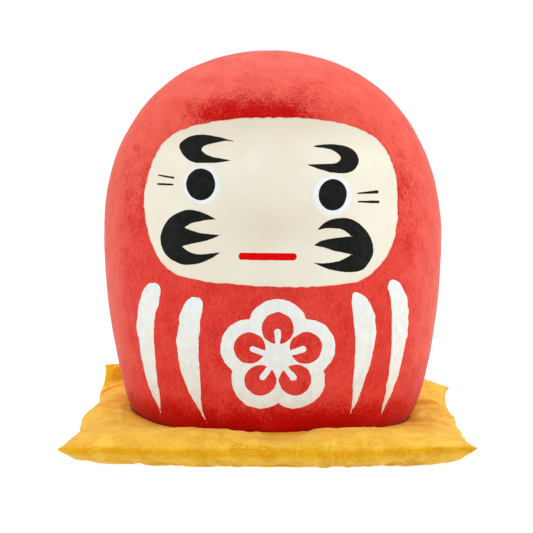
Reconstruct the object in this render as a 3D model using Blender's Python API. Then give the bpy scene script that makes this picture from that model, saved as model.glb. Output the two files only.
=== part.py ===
"""Papier-mache daruma doll seated on a square paper-covered cushion.

Blender units are metres and the tables below are millimetres. +Z is up and the doll faces -Y.
The origin is on the table under the middle of the cushion.
The doll is built in parallel layers: red paper outside, papier-mache shell, joining strip inside.
"""
import math

import bmesh
import bpy
from mathutils import Vector

MM = 0.001
GAP = 0.3                      # clearance left between pieces that touch
SEAT_GAP = 0.5                 # and between the doll and the cushion

# Doll: half width at each height, from the middle of the base to the widest level.
DEPTH_RATIO = 0.95             # front to back over side to side
BASE_Z = 5.6
WAIST_Z = 82.5
WAIST_R = 73.9
CROWN_Z = 168.75
CROWN_POWER = 2.35
SIDE_POWER = 2.15
LOWER_OUTLINE = [
    (0.0, BASE_Z), (30.0, BASE_Z), (50.5, BASE_Z), (55.2, 6.3), (58.9, 8.3), (61.4, 11.2), (63.2, 15.0),
    (66.0, 24.0), (68.7, 36.0), (70.8, 48.0), (72.4, 60.0), (73.4, 71.0), (WAIST_R, WAIST_Z),
]

# Layer depths below the outer surface.
SKIN = (0.0, 0.6)
FACE = (0.1, 0.55)
SHELL = (0.9, 2.9)
BAND = (3.4, 4.0)
SKIN_BASE_R = 49.5             # the red paper is turned under the base to this radius
SHELL_BASE_R = 47.0            # opening in the bottom of the shell
SEAM_BAND_HALF = 7.0

# Face window as seen from the front, x and height.
WINDOW = [
    (-33.7, 135.9), (-16.0, 139.0), (3.0, 140.0), (20.0, 139.2), (34.0, 136.4), (45.0, 130.4), (51.0, 120.0),
    (53.0, 106.0), (52.0, 93.0), (47.5, 82.0), (38.9, 74.2), (26.0, 72.0), (6.5, 71.6), (-13.0, 72.6),
    (-30.9, 74.2), (-41.5, 78.6), (-48.5, 89.5), (-51.4, 104.0), (-50.0, 116.0), (-44.5, 128.5),
]
RECESS_TOP = 6.5               # how far the face is sunk under the brow
RECESS_BOTTOM = 1.0            # and under the chin
RECESS_OUTSIDE = 14.0          # the sinking starts this far outside the window
RECESS_INSIDE = 8.0            # and is complete this far inside it
RECESS_LOW_Z = 62.0            # the depth grows from the chin, upwards over this much height
RECESS_GROWS_OVER = 78.0
RECESS_ZONE = (70.0, 50.0, 160.0)    # outside this half width and these heights nothing is sunk
LEAN_LOW = 0.6                 # sideways shift low down
LEAN_TOP = 2.1                 # less this at the crown
LEAN_FROM_Z = 40.0
LEAN_OVER = 128.0
NOSE = (0.5, 99.0, 9.0, 11.0, 1.5)   # x, height, half widths, rise

# Levels of the rings of facets, in height.
FRONT_LEVELS = [
    24, 36, 48, 58, 66, 73.5, 81, 90, 99, 108, 117, 126, 134, 141, 148, 154.5, 160, 164.3, 166.9, 168.2,
]
REAR_LEVELS = [24, 36, 49, 64, 82.5, 98, 112, 125, 137, 147.5, 155.5, 161.5, 165.8, 168.0]
CORNER_LEVELS = [6.3, 8.3, 11.2, 15.0]
FRONT_SPLITS = 22
REAR_SPLITS = 18

# Weighted base.
CUP_R = SHELL_BASE_R - GAP
CUP_WALL = 2.0
CUP_FLOOR = 1.8
CUP_TOP_Z = 19.0
CLAY_TOP_Z = 17.0
CLAY_CHAMFER_LOW = 0.8
CLAY_CHAMFER_TOP = 1.5
PAPER = 0.6                    # base paper
ROUND_SPLITS = 40

# Cushion, measured from its middle.
TIP = 83.5                     # corner tips, along x and along y
EDGE_MIDDLE = 82.2
EDGE_WAIST = 81.0              # narrowest just behind each tip
WAIST_AT = 0.8                 # where that is, from 0 at the middle of a side to 1 at the tip
SEAM_Z_MIDDLE = 5.5
SEAM_Z_TIP = 8.0
COVER = 0.5
FOLD_Y = 68.5                  # the rear edge turns up behind this line
FOLD_LENGTH = 8.0
FOLD_Z = 7.0
FOLD_RUN_IN = 6.5              # the cover starts to flatten this far before the fold
FOLD_TURN = math.radians(82.0)
FOLD_LIFT = 2.2                # rise of the middle of the cushion's thickness at the fold
FOLD_FLATTEN = 0.3             # share of the thickness that the fold presses out
CURL_FULL_X = -66.0            # turned up fully to the left of this, and not at all beyond the next
CURL_NONE_X = -24.0
CONTACT_Z = 11.0               # how high the cushion climbs the doll
CONTACT_SIDE = 2.0             # higher on the doll's left side by this, lower on the right
CONTACT_REAR = 0.3
CROWN_RISE = 0.9               # the top swells this much between the doll and the seam
TOP_POWER = 3.2                # how squarely the top falls to the seam at the middle of a side
TOP_POWER_TIP = 1.8            # and at a tip
ROUNDING = 5.0                 # strip of the underside that lifts off the table at the middle of a side
ROUNDING_TIP = 32.0            # and at a tip
FILL_SIDE = 0.6                # share of the way to the seam that the wadding reaches
FILL_TIP = 0.36
FILL_BEFORE_FOLD = 4.0

# Rings of the cushion's facets: stations on its surfaces, and shares of the wadding's reach.
SEAT_STATIONS = [0.45, 0.82, 0.9, 0.96, 1.0]
RIM_STATIONS = [1.12, 1.41, 1.62, 1.795, 1.925, 2.0]
UNDERSIDE_STATIONS = [0.5, 0.9, 1.0, 1.35, 1.65, 1.87, 2.0]
FILL_TOP_SHARES = [0.2, 0.6, 1.0]
FILL_UNDER_SHARES = [1.0, 0.88, 0.5]
QUARTER_ANGLES = [0, 10, 20, 29, 37, 42, 45, 48, 53, 61, 70, 80]   # closer together at the ears
CUSHION_ANGLES = [math.radians(90 * quarter + angle) for quarter in range(4) for angle in QUARTER_ANGLES]


def smooth(t):
    t = max(0.0, min(1.0, t))
    return t * t * (3.0 - 2.0 * t)


def spline(points, steps, closed=False):
    """Catmull-Rom curve through 2-D points."""
    count = len(points)
    curve = []
    for i in range(count if closed else count - 1):
        if closed:
            four = [points[(i + k) % count] for k in (-1, 0, 1, 2)]
        else:
            four = [points[max(0, min(count - 1, i + k))] for k in (-1, 0, 1, 2)]
        for k in range(steps):
            t = k / steps
            weights = (
                -0.5 * t + t * t - 0.5 * t ** 3,
                1.0 - 2.5 * t * t + 1.5 * t ** 3,
                0.5 * t + 2.0 * t * t - 1.5 * t ** 3,
                -0.5 * t * t + 0.5 * t ** 3,
            )
            curve.append(tuple(sum(w * p[axis] for w, p in zip(weights, four)) for axis in (0, 1)))
    if not closed:
        curve.append(tuple(points[-1]))
    return curve


def body_outline():
    """Half outline of the doll from the middle of the base to the crown, with arc lengths."""
    curve = spline(LOWER_OUTLINE, 8)
    for i in range(1, 121):
        angle = math.radians(90.0 * i / 120)
        radius = WAIST_R * max(0.0, math.cos(angle)) ** (2.0 / SIDE_POWER)
        height = WAIST_Z + (CROWN_Z - WAIST_Z) * math.sin(angle) ** (2.0 / CROWN_POWER)
        curve.append((radius, height))
    curve[-1] = (0.0, CROWN_Z)
    lengths = [0.0]
    for a, b in zip(curve, curve[1:]):
        lengths.append(lengths[-1] + math.dist(a, b))
    return curve, lengths


OUTLINE, LENGTHS = body_outline()
WINDOW_CURVE = spline(WINDOW, 3, closed=True)


def outline_at(s):
    """Radius and height at arc length s."""
    s = max(0.0, min(LENGTHS[-1], s))
    low, high = 0, len(LENGTHS) - 1
    while high - low > 1:
        middle = (low + high) // 2
        if LENGTHS[middle] <= s:
            low = middle
        else:
            high = middle
    t = (s - LENGTHS[low]) / (LENGTHS[high] - LENGTHS[low])
    a, b = OUTLINE[low], OUTLINE[high]
    return a[0] + (b[0] - a[0]) * t, a[1] + (b[1] - a[1]) * t


def length_at_height(z):
    """Arc length where the side of the doll passes height z."""
    for i in range(len(OUTLINE) - 1):
        low, high = OUTLINE[i][1], OUTLINE[i + 1][1]
        if low <= z <= high and high > low:
            return LENGTHS[i] + (z - low) / (high - low) * (LENGTHS[i + 1] - LENGTHS[i])
    return LENGTHS[-1]


def length_on_crown(radius):
    """Arc length where the upper dome has this radius."""
    rise = max(0.0, 1.0 - (radius / WAIST_R) ** SIDE_POWER) ** (1.0 / CROWN_POWER)
    return length_at_height(WAIST_Z + (CROWN_Z - WAIST_Z) * rise)


def lean(z):
    """Sideways shift of the hand-made body, a little to the right low down and to the left at the crown."""
    return LEAN_LOW - LEAN_TOP * ((z - LEAN_FROM_Z) / LEAN_OVER) ** 2


def window_distance(x, z):
    """Signed distance to the face window, positive outside it."""
    nearest = 1e9
    inside = False
    count = len(WINDOW_CURVE)
    for i in range(count):
        (ax, az), (bx, bz) = WINDOW_CURVE[i], WINDOW_CURVE[(i + 1) % count]
        dx, dz = bx - ax, bz - az
        t = max(0.0, min(1.0, ((x - ax) * dx + (z - az) * dz) / (dx * dx + dz * dz)))
        nearest = min(nearest, math.hypot(x - ax - t * dx, z - az - t * dz))
        if (az > z) != (bz > z) and x < ax + (z - az) / dz * dx:
            inside = not inside
    return -nearest if inside else nearest


def recess(x, z):
    """How far the face is sunk below the egg-shaped body."""
    reach_x, low_z, high_z = RECESS_ZONE
    if not low_z < z < high_z or abs(x) > reach_x:
        return 0.0
    mask = smooth((RECESS_OUTSIDE - window_distance(x, z)) / (RECESS_OUTSIDE + RECESS_INSIDE))
    depth = RECESS_BOTTOM + (RECESS_TOP - RECESS_BOTTOM) * smooth((z - RECESS_LOW_Z) / RECESS_GROWS_OVER)
    nose_x, nose_z, half_x, half_z, rise = NOSE
    bump = rise * math.exp(-((x - nose_x) / half_x) ** 2 - ((z - nose_z) / half_z) ** 2)
    return mask * depth - bump


def body_surface(s, phi):
    """Outer surface at arc length s and angle phi, which is 0 at the front and positive to +X."""
    radius, z = outline_at(s)
    x = radius * math.sin(phi) + lean(z)
    y = -DEPTH_RATIO * radius * math.cos(phi)
    if math.cos(phi) > 0.05:
        y += recess(x, z)
    return Vector((x, y, z))


def body_point(s, phi, depth):
    """Point a given depth below the outer surface, along its normal."""
    if s >= LENGTHS[-1] - 0.01:
        return Vector((lean(CROWN_Z), 0.0, CROWN_Z - depth))
    step = min(1.0, LENGTHS[-1] - s)
    turn = 0.03
    along = body_surface(s + step, phi) - body_surface(s - step, phi)
    across = body_surface(s, phi + turn) - body_surface(s, phi - turn)
    normal = across.cross(along).normalized()
    return body_surface(s, phi) - normal * depth


def material(name, colour, roughness):
    paint = bpy.data.materials.new(name)
    paint.use_nodes = True
    shader = paint.node_tree.nodes["Principled BSDF"]
    shader.inputs["Base Color"].default_value = (*colour, 1.0)
    shader.inputs["Roughness"].default_value = roughness
    paint.diffuse_color = (*colour, 1.0)
    return paint


def add_object(name, points, faces, paint):
    """Closed mesh from millimetre points, facing out, smooth except at sharp edges."""
    mesh = bpy.data.meshes.new(name)
    mesh.from_pydata([tuple(MM * c for c in p) for p in points], [], faces)
    work = bmesh.new()
    work.from_mesh(mesh)
    bmesh.ops.recalc_face_normals(work, faces=work.faces)
    for face in work.faces:
        face.smooth = True
    work.to_mesh(mesh)
    work.free()
    mesh.set_sharp_from_angle(angle=math.radians(38.0))
    mesh.materials.append(paint)
    part = bpy.data.objects.new(name, mesh)
    bpy.context.scene.collection.objects.link(part)
    return part


def join_grids(points, outer, inner, tip_outer=None, tip_inner=None, ring=False):
    """Faces of a sheet between two grids of point indices, closed at the edges.

    Both sides are split along the same, shorter diagonals, so that the sheet keeps its thickness.
    """
    rows, columns = len(outer), len(outer[0])
    faces = []
    last = columns if ring else columns - 1
    for i in range(rows - 1):
        for j in range(last):
            k = (j + 1) % columns
            corners = ((i, j), (i, k), (i + 1, k), (i + 1, j))
            places = [points[outer[row][column]] for row, column in corners]
            first = 0 if (places[0] - places[2]).length <= (places[1] - places[3]).length else 1
            for step in (1, 2):
                triple = [corners[(first + turn) % 4] for turn in (0, step, step + 1)]
                faces.append(tuple(outer[row][column] for row, column in triple))
                faces.append(tuple(inner[row][column] for row, column in reversed(triple)))
    for j in range(last):
        k = (j + 1) % columns
        faces.append((outer[0][j], inner[0][j], inner[0][k], outer[0][k]))
        if tip_outer is None:
            faces.append((outer[-1][j], outer[-1][k], inner[-1][k], inner[-1][j]))
        else:
            faces.append((outer[-1][j], outer[-1][k], tip_outer))
            faces.append((inner[-1][j], tip_inner, inner[-1][k]))
    if not ring:
        for j in (0, columns - 1):
            for i in range(rows - 1):
                faces.append((outer[i][j], outer[i + 1][j], inner[i + 1][j], inner[i][j]))
            if tip_outer is not None:
                faces.append((outer[-1][j], tip_outer, tip_inner, inner[-1][j]))
    return faces


def half_shell(name, depths, base_radius, front, paint):
    """Front or rear half of one layer of the hollow body, cut on the side seam."""
    levels = FRONT_LEVELS if front else REAR_LEVELS
    splits = FRONT_SPLITS if front else REAR_SPLITS
    side = -1.0 if front else 1.0
    stations = [base_radius] + [length_at_height(z) for z in CORNER_LEVELS + levels]
    points = []
    grids = []
    tips = []
    for depth in depths:
        grid = []
        for s in stations:
            radius = outline_at(s)[0]
            limit = math.acos(0.5 * GAP / (DEPTH_RATIO * radius))
            row = []
            for j in range(splits + 1):
                swing = limit * (2.0 * j / splits - 1.0)
                phi = swing if front else math.pi - swing
                point = body_point(s, phi, depth)
                if j in (0, splits):
                    point.y = side * 0.5 * GAP
                row.append(len(points))
                points.append(point)
            grid.append(row)
        tips.append(len(points))
        points.append(Vector((lean(CROWN_Z), side * 0.5 * GAP, CROWN_Z - depth)))
        grids.append(grid)
    return add_object(name, points, join_grids(points, grids[0], grids[1], tips[0], tips[1]), paint)


def window_prism(name, inset):
    """Cutter through the front of the body with the outline of the face window."""
    count = len(WINDOW_CURVE)
    rim = []
    for i in range(count):
        before, here, after = WINDOW_CURVE[i - 1], WINDOW_CURVE[i], WINDOW_CURVE[(i + 1) % count]
        dx, dz = after[0] - before[0], after[1] - before[1]
        size = math.hypot(dx, dz)
        rim.append((here[0] + inset * dz / size, here[1] - inset * dx / size))
    points = [(x, y, z) for y in (-95.0, -22.0) for x, z in rim]
    faces = [tuple(range(count)), tuple(range(2 * count - 1, count - 1, -1))]
    faces += [(i, i + count, (i + 1) % count + count, (i + 1) % count) for i in range(count)]
    prism = add_object(name, points, faces, CUTTER_PAINT)
    for face in prism.data.polygons:
        face.use_smooth = False
    prism.hide_render = True
    prism.display_type = "WIRE"
    return prism


def boolean(part, cutter, operation):
    cut = part.modifiers.new("window", "BOOLEAN")
    cut.operation = operation
    cut.solver = "EXACT"
    cut.object = cutter


def face_blank(name, paint):
    """Slab that follows the sunken face and reaches past the window on every side."""
    levels = [64, 68.5, 73.5, 81, 90, 99, 108, 117, 126, 134, 141, 148]
    points = []
    grids = []
    for depth in FACE:
        grid = []
        for z in levels:
            s = length_at_height(z)
            limit = math.acos(0.5 * GAP / (DEPTH_RATIO * outline_at(s)[0]))
            row = []
            for j in range(4, FRONT_SPLITS - 3):
                row.append(len(points))
                points.append(body_point(s, limit * (2.0 * j / FRONT_SPLITS - 1.0), depth))
            grid.append(row)
        grids.append(grid)
    return add_object(name, points, join_grids(points, grids[0], grids[1]), paint)


def seam_band(name, paint):
    """Paper strip glued over the joint inside, up one side, over the crown and down the other."""
    heights = [20, 30, 42, 55, 68, 82.5, 98, 112, 125, 137, 147.5, 155.5, 161.5]
    crown = [24.0, 12.0, 4.0]
    half = [(outline_at(length_at_height(z))[0], length_at_height(z)) for z in heights]
    half += [(radius, None) for radius in crown]
    path = [(-1.0, r, s) for r, s in half] + [(1.0, r, s) for r, s in reversed(half)]
    points = []
    grids = []
    for depth in BAND:
        grid = []
        for sign, radius, s in path:
            row = []
            for y in (-SEAM_BAND_HALF, 0.0, SEAM_BAND_HALF):
                if s is None:
                    phi = math.atan2(sign * radius, -y / DEPTH_RATIO)
                    place = length_on_crown(math.hypot(radius, y / DEPTH_RATIO))
                else:
                    phi = sign * math.acos(-y / DEPTH_RATIO / radius)
                    place = s
                row.append(len(points))
                points.append(body_point(place, phi, depth))
            grid.append(row)
        grids.append(grid)
    return add_object(name, points, join_grids(points, grids[0], grids[1]), paint)


def turned(name, profile, paint):
    """Turned solid with the oval section of the body, from a profile that starts and ends on the axis."""
    shift = lean(BASE_Z)
    points = []
    rings = []
    for radius, z in profile:
        if radius == 0.0:
            rings.append([len(points)])
            points.append((shift, 0.0, z))
            continue
        ring = []
        for i in range(ROUND_SPLITS):
            angle = 2.0 * math.pi * i / ROUND_SPLITS
            ring.append(len(points))
            points.append((shift + radius * math.cos(angle), DEPTH_RATIO * radius * math.sin(angle), z))
        rings.append(ring)
    faces = []
    for a, b in zip(rings, rings[1:]):
        for i in range(ROUND_SPLITS):
            k = (i + 1) % ROUND_SPLITS
            if len(a) == 1:
                faces.append((a[0], b[k], b[i]))
            elif len(b) == 1:
                faces.append((a[i], a[k], b[0]))
            else:
                faces.append((a[i], a[k], b[k], b[i]))
    return add_object(name, points, faces, paint)


def edge_distance(phi):
    """Distance from the middle of the cushion to its outline: slightly bowed sides and pointed ears."""
    c, s = abs(math.cos(phi)), abs(math.sin(phi))
    along = min(c, s) / max(c, s)
    side = EDGE_MIDDLE + (EDGE_WAIST - EDGE_MIDDLE) * smooth(along / WAIST_AT)
    side += (TIP - EDGE_WAIST) * smooth((along - WAIST_AT) / (1.0 - WAIST_AT))
    return side / max(c, s)


def cornerness(phi):
    """0 at the middle of a side, 1 at a corner."""
    c, s = abs(math.cos(phi)), abs(math.sin(phi))
    return (min(c, s) / max(c, s)) ** 2


def seam_height(phi):
    return SEAM_Z_MIDDLE + (SEAM_Z_TIP - SEAM_Z_MIDDLE) * cornerness(phi)


def contact_height(phi):
    """How high the cushion climbs the doll, highest on its left."""
    return CONTACT_Z - CONTACT_SIDE * math.sin(phi) - CONTACT_REAR * math.cos(phi)


def curl(x):
    """How much the rear edge is turned up: fully at the left corner, fading out behind the doll."""
    return 1.0 - smooth((x - CURL_FULL_X) / (CURL_NONE_X - CURL_FULL_X))


def fold_back(point):
    """Turn the strip behind the fold line upwards and flatten it, about the level of the seam."""
    amount = curl(point.x)
    near = smooth((point.y - FOLD_Y + FOLD_RUN_IN) / FOLD_RUN_IN)
    middle = FOLD_Z + FOLD_LIFT * amount * near
    height = (point.z - FOLD_Z) * (1.0 - FOLD_FLATTEN * amount * near)
    s = point.y - FOLD_Y
    if s <= 0.0 or amount == 0.0:
        return Vector((point.x, point.y, middle + height))
    full = FOLD_TURN * amount
    bent = min(s, FOLD_LENGTH)
    angle = full * bent / FOLD_LENGTH
    y = FOLD_LENGTH / full * math.sin(angle) + (s - bent) * math.cos(full)
    z = FOLD_LENGTH / full * (1.0 - math.cos(angle)) + (s - bent) * math.sin(full)
    return Vector((point.x, FOLD_Y + y - height * math.sin(angle), middle + z + height * math.cos(angle)))


def seat_angle(phi):
    return math.atan2(math.sin(phi), math.cos(phi) / DEPTH_RATIO)


def cushion_top(t, phi, sink=0.0):
    """Top of the cushion: t from 0 at the middle to 1 where it leaves the doll, and on to 2 at the seam."""
    if t == 0.0:
        return Vector((lean(BASE_Z), 0.0, BASE_Z - SEAT_GAP))
    contact = length_at_height(contact_height(phi))
    if t <= 1.0:
        return body_point(t * contact, seat_angle(phi), -SEAT_GAP)
    u = t - 1.0
    start = body_point(contact, seat_angle(phi), -SEAT_GAP)
    reach = edge_distance(phi)
    end = Vector((reach * math.sin(phi), -reach * math.cos(phi), seam_height(phi) + 0.5 * GAP + COVER))
    power = TOP_POWER + (TOP_POWER_TIP - TOP_POWER) * cornerness(phi)
    height = (start.z - end.z + CROWN_RISE * math.sin(math.pi * u)) * max(0.0, 1.0 - u ** power) ** 0.5
    place = start.lerp(end, u)
    return fold_back(Vector((place.x, place.y, end.z + height - sink)))


def underside_rounding(phi):
    """Width of the strip that lifts off the table, widest at the corners."""
    return ROUNDING + (ROUNDING_TIP - ROUNDING) * cornerness(phi)


def cushion_underside(t, phi, sink=0.0):
    """Underside: t from 0 at the middle to 1 where it leaves the table, and on to 2 at the seam."""
    reach = edge_distance(phi)
    rounding = underside_rounding(phi)
    if t <= 1.0:
        distance, height = t * (reach - rounding), 0.0
    else:
        v = t - 1.0
        distance = reach - rounding * (1.0 - v)
        height = (seam_height(phi) - 0.5 * GAP - COVER) * (1.0 - math.sqrt(max(0.0, 1.0 - v * v)))
    return fold_back(Vector((distance * math.sin(phi), -distance * math.cos(phi), height + sink)))


def below(surface, t, phi, depth, outward):
    """Point a given depth under one of the cushion's surfaces, square to the seam where the sheets end."""
    if depth == 0.0 or t == 2.0:
        return surface(t, phi, depth)
    step, turn = 0.02, 0.02
    along = surface(min(1.995, t + step), phi) - surface(t - step, phi)
    across = surface(t, phi + turn) - surface(t, phi - turn)
    normal = across.cross(along).normalized() * outward
    return surface(t, phi) - normal * depth


def cover(name, surface, stations, outward, paint):
    """One sheet of the cushion's cover, open at the seam."""
    points = []
    grids = []
    tips = []
    for depth in (0.0, COVER):
        grid = []
        for t in reversed(stations):
            row = []
            for phi in CUSHION_ANGLES:
                row.append(len(points))
                points.append(below(surface, t, phi, depth, outward))
            grid.append(row)
        grids.append(grid)
        middle = surface(0.0, 0.0)
        tips.append(len(points))
        points.append(middle + Vector((0.0, 0.0, outward * depth)))
    faces = join_grids(points, grids[0], grids[1], tips[0], tips[1], ring=True)
    return add_object(name, points, faces, paint)


def filling_reach(phi):
    """Share of the way from the doll to the seam that the wadding reaches: it stops short of the fold."""
    share = FILL_SIDE + (FILL_TIP - FILL_SIDE) * cornerness(phi)
    if behind_doll_on_left(phi):
        start = contact_radius(phi)
        limit = -(FOLD_Y - FOLD_RUN_IN - FILL_BEFORE_FOLD) / math.cos(phi)
        share = min(share, (limit - start) / (edge_distance(phi) - start))
    return share


def behind_doll_on_left(phi):
    """Where the turned-up strip is behind the wadding."""
    return math.cos(phi) < 0.0 and math.sin(phi) < -0.35


def contact_radius(phi):
    return outline_at(length_at_height(contact_height(phi)))[0]


def underside_station(distance, phi):
    """Station on the underside at a distance from the middle."""
    rounding = underside_rounding(phi)
    flat = edge_distance(phi) - rounding
    return distance / flat if distance < flat else 1.0 + (distance - flat) / rounding


def filling(name, paint):
    """Wadding that fills the cover up to a little short of the seam, leaving the ears empty."""
    inset = COVER + GAP
    count = len(CUSHION_ANGLES)
    points = [cushion_top(0.0, 0.0) - Vector((0.0, 0.0, inset))]
    for t in SEAT_STATIONS:
        points += [below(cushion_top, t, phi, inset, -1.0) for phi in CUSHION_ANGLES]
    for share in FILL_TOP_SHARES:
        for phi in CUSHION_ANGLES:
            points.append(below(cushion_top, 1.0 + share * filling_reach(phi), phi, inset, -1.0))
    for share in FILL_UNDER_SHARES:
        for phi in CUSHION_ANGLES:
            start = contact_radius(phi)
            rim = start + filling_reach(phi) * (edge_distance(phi) - start)
            station = underside_station(share * rim, phi)
            points.append(below(cushion_underside, station, phi, inset, 1.0))
    points.append(Vector((0.0, 0.0, inset)))
    ring_count = len(SEAT_STATIONS) + len(FILL_TOP_SHARES) + len(FILL_UNDER_SHARES)
    rings = [range(1 + row * count, 1 + (row + 1) * count) for row in range(ring_count)]
    faces = []
    for j in range(count):
        k = (j + 1) % count
        faces.append((0, rings[0][j], rings[0][k]))
        faces.append((len(points) - 1, rings[-1][k], rings[-1][j]))
        for a, b in zip(rings, rings[1:]):
            faces.append((a[j], b[j], b[k], a[k]))
    return add_object(name, points, faces, paint)


for leftover in list(bpy.data.objects):
    bpy.data.objects.remove(leftover, do_unlink=True)

CUTTER_PAINT = material("cutter", (0.5, 0.5, 0.5), 0.5)
RED = (0.78, 0.045, 0.03)

skin_front = half_shell("red_washi_front", SKIN, SKIN_BASE_R, True, material("red_washi_front", RED, 0.7))
half_shell("red_washi_rear", SKIN, SKIN_BASE_R, False, material("red_washi_rear", RED, 0.7))
face_panel = face_blank("face_panel", material("face_panel", (0.85, 0.78, 0.66), 0.6))
boolean(skin_front, window_prism("window_cutter", 0.0), "DIFFERENCE")
boolean(face_panel, window_prism("face_cutter", GAP), "INTERSECT")

half_shell("front_shell", SHELL, SHELL_BASE_R, True, material("front_shell", (0.62, 0.58, 0.5), 0.9))
half_shell("rear_shell", SHELL, SHELL_BASE_R, False, material("rear_shell", (0.6, 0.56, 0.48), 0.9))
seam_band("seam_band", material("seam_band", (0.75, 0.7, 0.6), 0.9))

cup_low = BASE_Z + PAPER + GAP
cup_floor = cup_low + CUP_FLOOR
cup_profile = [
    (0.0, cup_low), (CUP_R, cup_low), (CUP_R, CUP_TOP_Z), (CUP_R - CUP_WALL, CUP_TOP_Z),
    (CUP_R - CUP_WALL, cup_floor), (0.0, cup_floor),
]
turned("base_cup", cup_profile, material("base_cup", (0.5, 0.46, 0.4), 0.9))

clay_r = CUP_R - CUP_WALL - GAP
clay_low = cup_floor + GAP
clay_profile = [
    (0.0, clay_low), (clay_r - CLAY_CHAMFER_LOW, clay_low), (clay_r, clay_low + CLAY_CHAMFER_LOW),
    (clay_r, CLAY_TOP_Z - CLAY_CHAMFER_TOP), (clay_r - CLAY_CHAMFER_TOP, CLAY_TOP_Z), (0.0, CLAY_TOP_Z),
]
turned("clay_weight", clay_profile, material("clay_weight", (0.36, 0.24, 0.17), 0.95))

paper_r = SKIN_BASE_R - GAP
paper_profile = [(0.0, BASE_Z), (paper_r, BASE_Z), (paper_r, BASE_Z + PAPER), (0.0, BASE_Z + PAPER)]
turned("base_paper", paper_profile, material("base_paper", (0.8, 0.75, 0.65), 0.85))

GOLD = (0.8, 0.42, 0.045)
top_paint = material("cushion_cover_top", GOLD, 0.8)
bottom_paint = material("cushion_cover_bottom", GOLD, 0.8)
cover("cushion_cover_top", cushion_top, SEAT_STATIONS + RIM_STATIONS, -1.0, top_paint)
cover("cushion_cover_bottom", cushion_underside, UNDERSIDE_STATIONS, 1.0, bottom_paint)
filling("cushion_filling", material("cushion_filling", (0.85, 0.83, 0.78), 0.95))
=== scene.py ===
import math

import bmesh
import bpy
import mathutils
import numpy as np
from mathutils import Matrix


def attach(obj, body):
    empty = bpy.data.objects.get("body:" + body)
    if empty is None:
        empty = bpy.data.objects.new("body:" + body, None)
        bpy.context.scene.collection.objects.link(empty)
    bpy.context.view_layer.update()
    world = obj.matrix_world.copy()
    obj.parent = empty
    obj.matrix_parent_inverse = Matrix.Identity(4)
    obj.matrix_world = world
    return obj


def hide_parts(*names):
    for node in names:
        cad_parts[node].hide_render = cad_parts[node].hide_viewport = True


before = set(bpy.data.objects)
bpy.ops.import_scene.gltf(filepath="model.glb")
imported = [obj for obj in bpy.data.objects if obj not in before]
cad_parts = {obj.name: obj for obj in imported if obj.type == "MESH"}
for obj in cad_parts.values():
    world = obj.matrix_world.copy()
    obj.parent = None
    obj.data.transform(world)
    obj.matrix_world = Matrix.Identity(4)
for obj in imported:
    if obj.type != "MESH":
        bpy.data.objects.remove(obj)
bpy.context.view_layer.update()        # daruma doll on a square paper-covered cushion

MM = 0.001                     # lengths below are millimetres

# Doll surface, the same rules as the CAD body.
DEPTH_RATIO = 0.95
BASE_Z = 5.6
WAIST_Z = 82.5
WAIST_R = 73.9
CROWN_Z = 168.75
CROWN_POWER = 2.35
SIDE_POWER = 2.15
LEAN_FOOT = 0.6                # the axis stands this far to the right at the height LEAN_Z
LEAN_FALL = 2.1                # and comes back by this much over LEAN_OVER
LEAN_Z = 40.0
LEAN_OVER = 128.0
LOWER_OUTLINE = [
    (0.0, BASE_Z), (30.0, BASE_Z), (50.5, BASE_Z), (55.2, 6.3), (58.9, 8.3), (61.4, 11.2), (63.2, 15.0),
    (66.0, 24.0), (68.7, 36.0), (70.8, 48.0), (72.4, 60.0), (73.4, 71.0), (WAIST_R, WAIST_Z),
]
WINDOW = [
    (-33.7, 135.9), (-16.0, 139.0), (3.0, 140.0), (20.0, 139.2), (34.0, 136.4), (45.4, 130.4), (51.5, 120.0),
    (53.6, 106.0), (52.5, 93.0), (47.9, 82.0), (38.9, 74.2), (26.0, 72.0), (6.5, 71.6), (-13.0, 72.6),
    (-30.9, 74.2), (-42.2, 78.6), (-49.3, 89.5), (-52.3, 104.0), (-50.8, 116.0), (-45.2, 128.5),
]
RECESS_TOP = 6.5               # depth of the face's dent at its top and its bottom
RECESS_BOTTOM = 1.0
RECESS_OUTSIDE = 14.0          # how far it runs out outside the window, and how far in it is full
RECESS_INSIDE = 8.0
RECESS_LOW_Z = 62.0
RECESS_GROWS_OVER = 78.0
NOSE = (0.5, 99.0, 9.0, 11.0, 1.5)   # x, height, half widths, rise
SKIN_BASE_R = 49.5             # the red paper is turned in under the base to here
FACE_DEPTH = 0.35              # the face paper lies this far below the red paper
PAINT = 0.09                   # thickness of brushed paint
PAINT_EDGE = 0.45              # share of it left at the edge, and how far in it is whole
PAINT_WHOLE_AT = 0.7
GRID_SPARE = 2.0               # width added on both sides of a patch of the surface
SIDE_LIMIT = 0.97              # sine of the furthest turn that a patch can reach

# Cushion, close to the rules of the CAD cushion.
SEAM_GROOVE = 0.75             # depth and half width of the groove along the seam
SEAM_HALF = 2.3
SEAM_Z_MIDDLE = 5.5            # height of the seam at the middle of a side and at a corner
SEAM_Z_TIP = 8.0
SEAM_Z_RIGHT = 1.4             # how much higher the front right corner stands
SEAT_GAP = 0.5                 # between the doll and the cushion
FOLD_Y = 68.5                  # the rear left corner is turned up behind this line
FOLD_LENGTH = 8.0
FOLD_Z = 7.0
FOLD_RUN_IN = 6.5
FOLD_TURN = math.radians(82.0)
COVER = 0.5                    # height of the wall that closes a cover along the seam
CONTACT_Z = 11.3               # height at which the cushion meets the doll, and how it falls
CONTACT_TILT_X = 2.0           # towards the right and towards the front
CONTACT_TILT_Y = 0.3
REAR_RISE = 5.0                # height of the rear edge to the right of the doll
UNDER_ROUND = 5.0              # width of the underside's rounding, and how much wider at a corner
UNDER_ROUND_CORNER = 24.0
UNDER_WEDGE = 0.78             # share of the rounding that is a wedge at a corner


# ---------------------------------------------------------------- small tools

def smooth(t):
    t = np.clip(t, 0.0, 1.0)
    return t * t * (3.0 - 2.0 * t)


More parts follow.
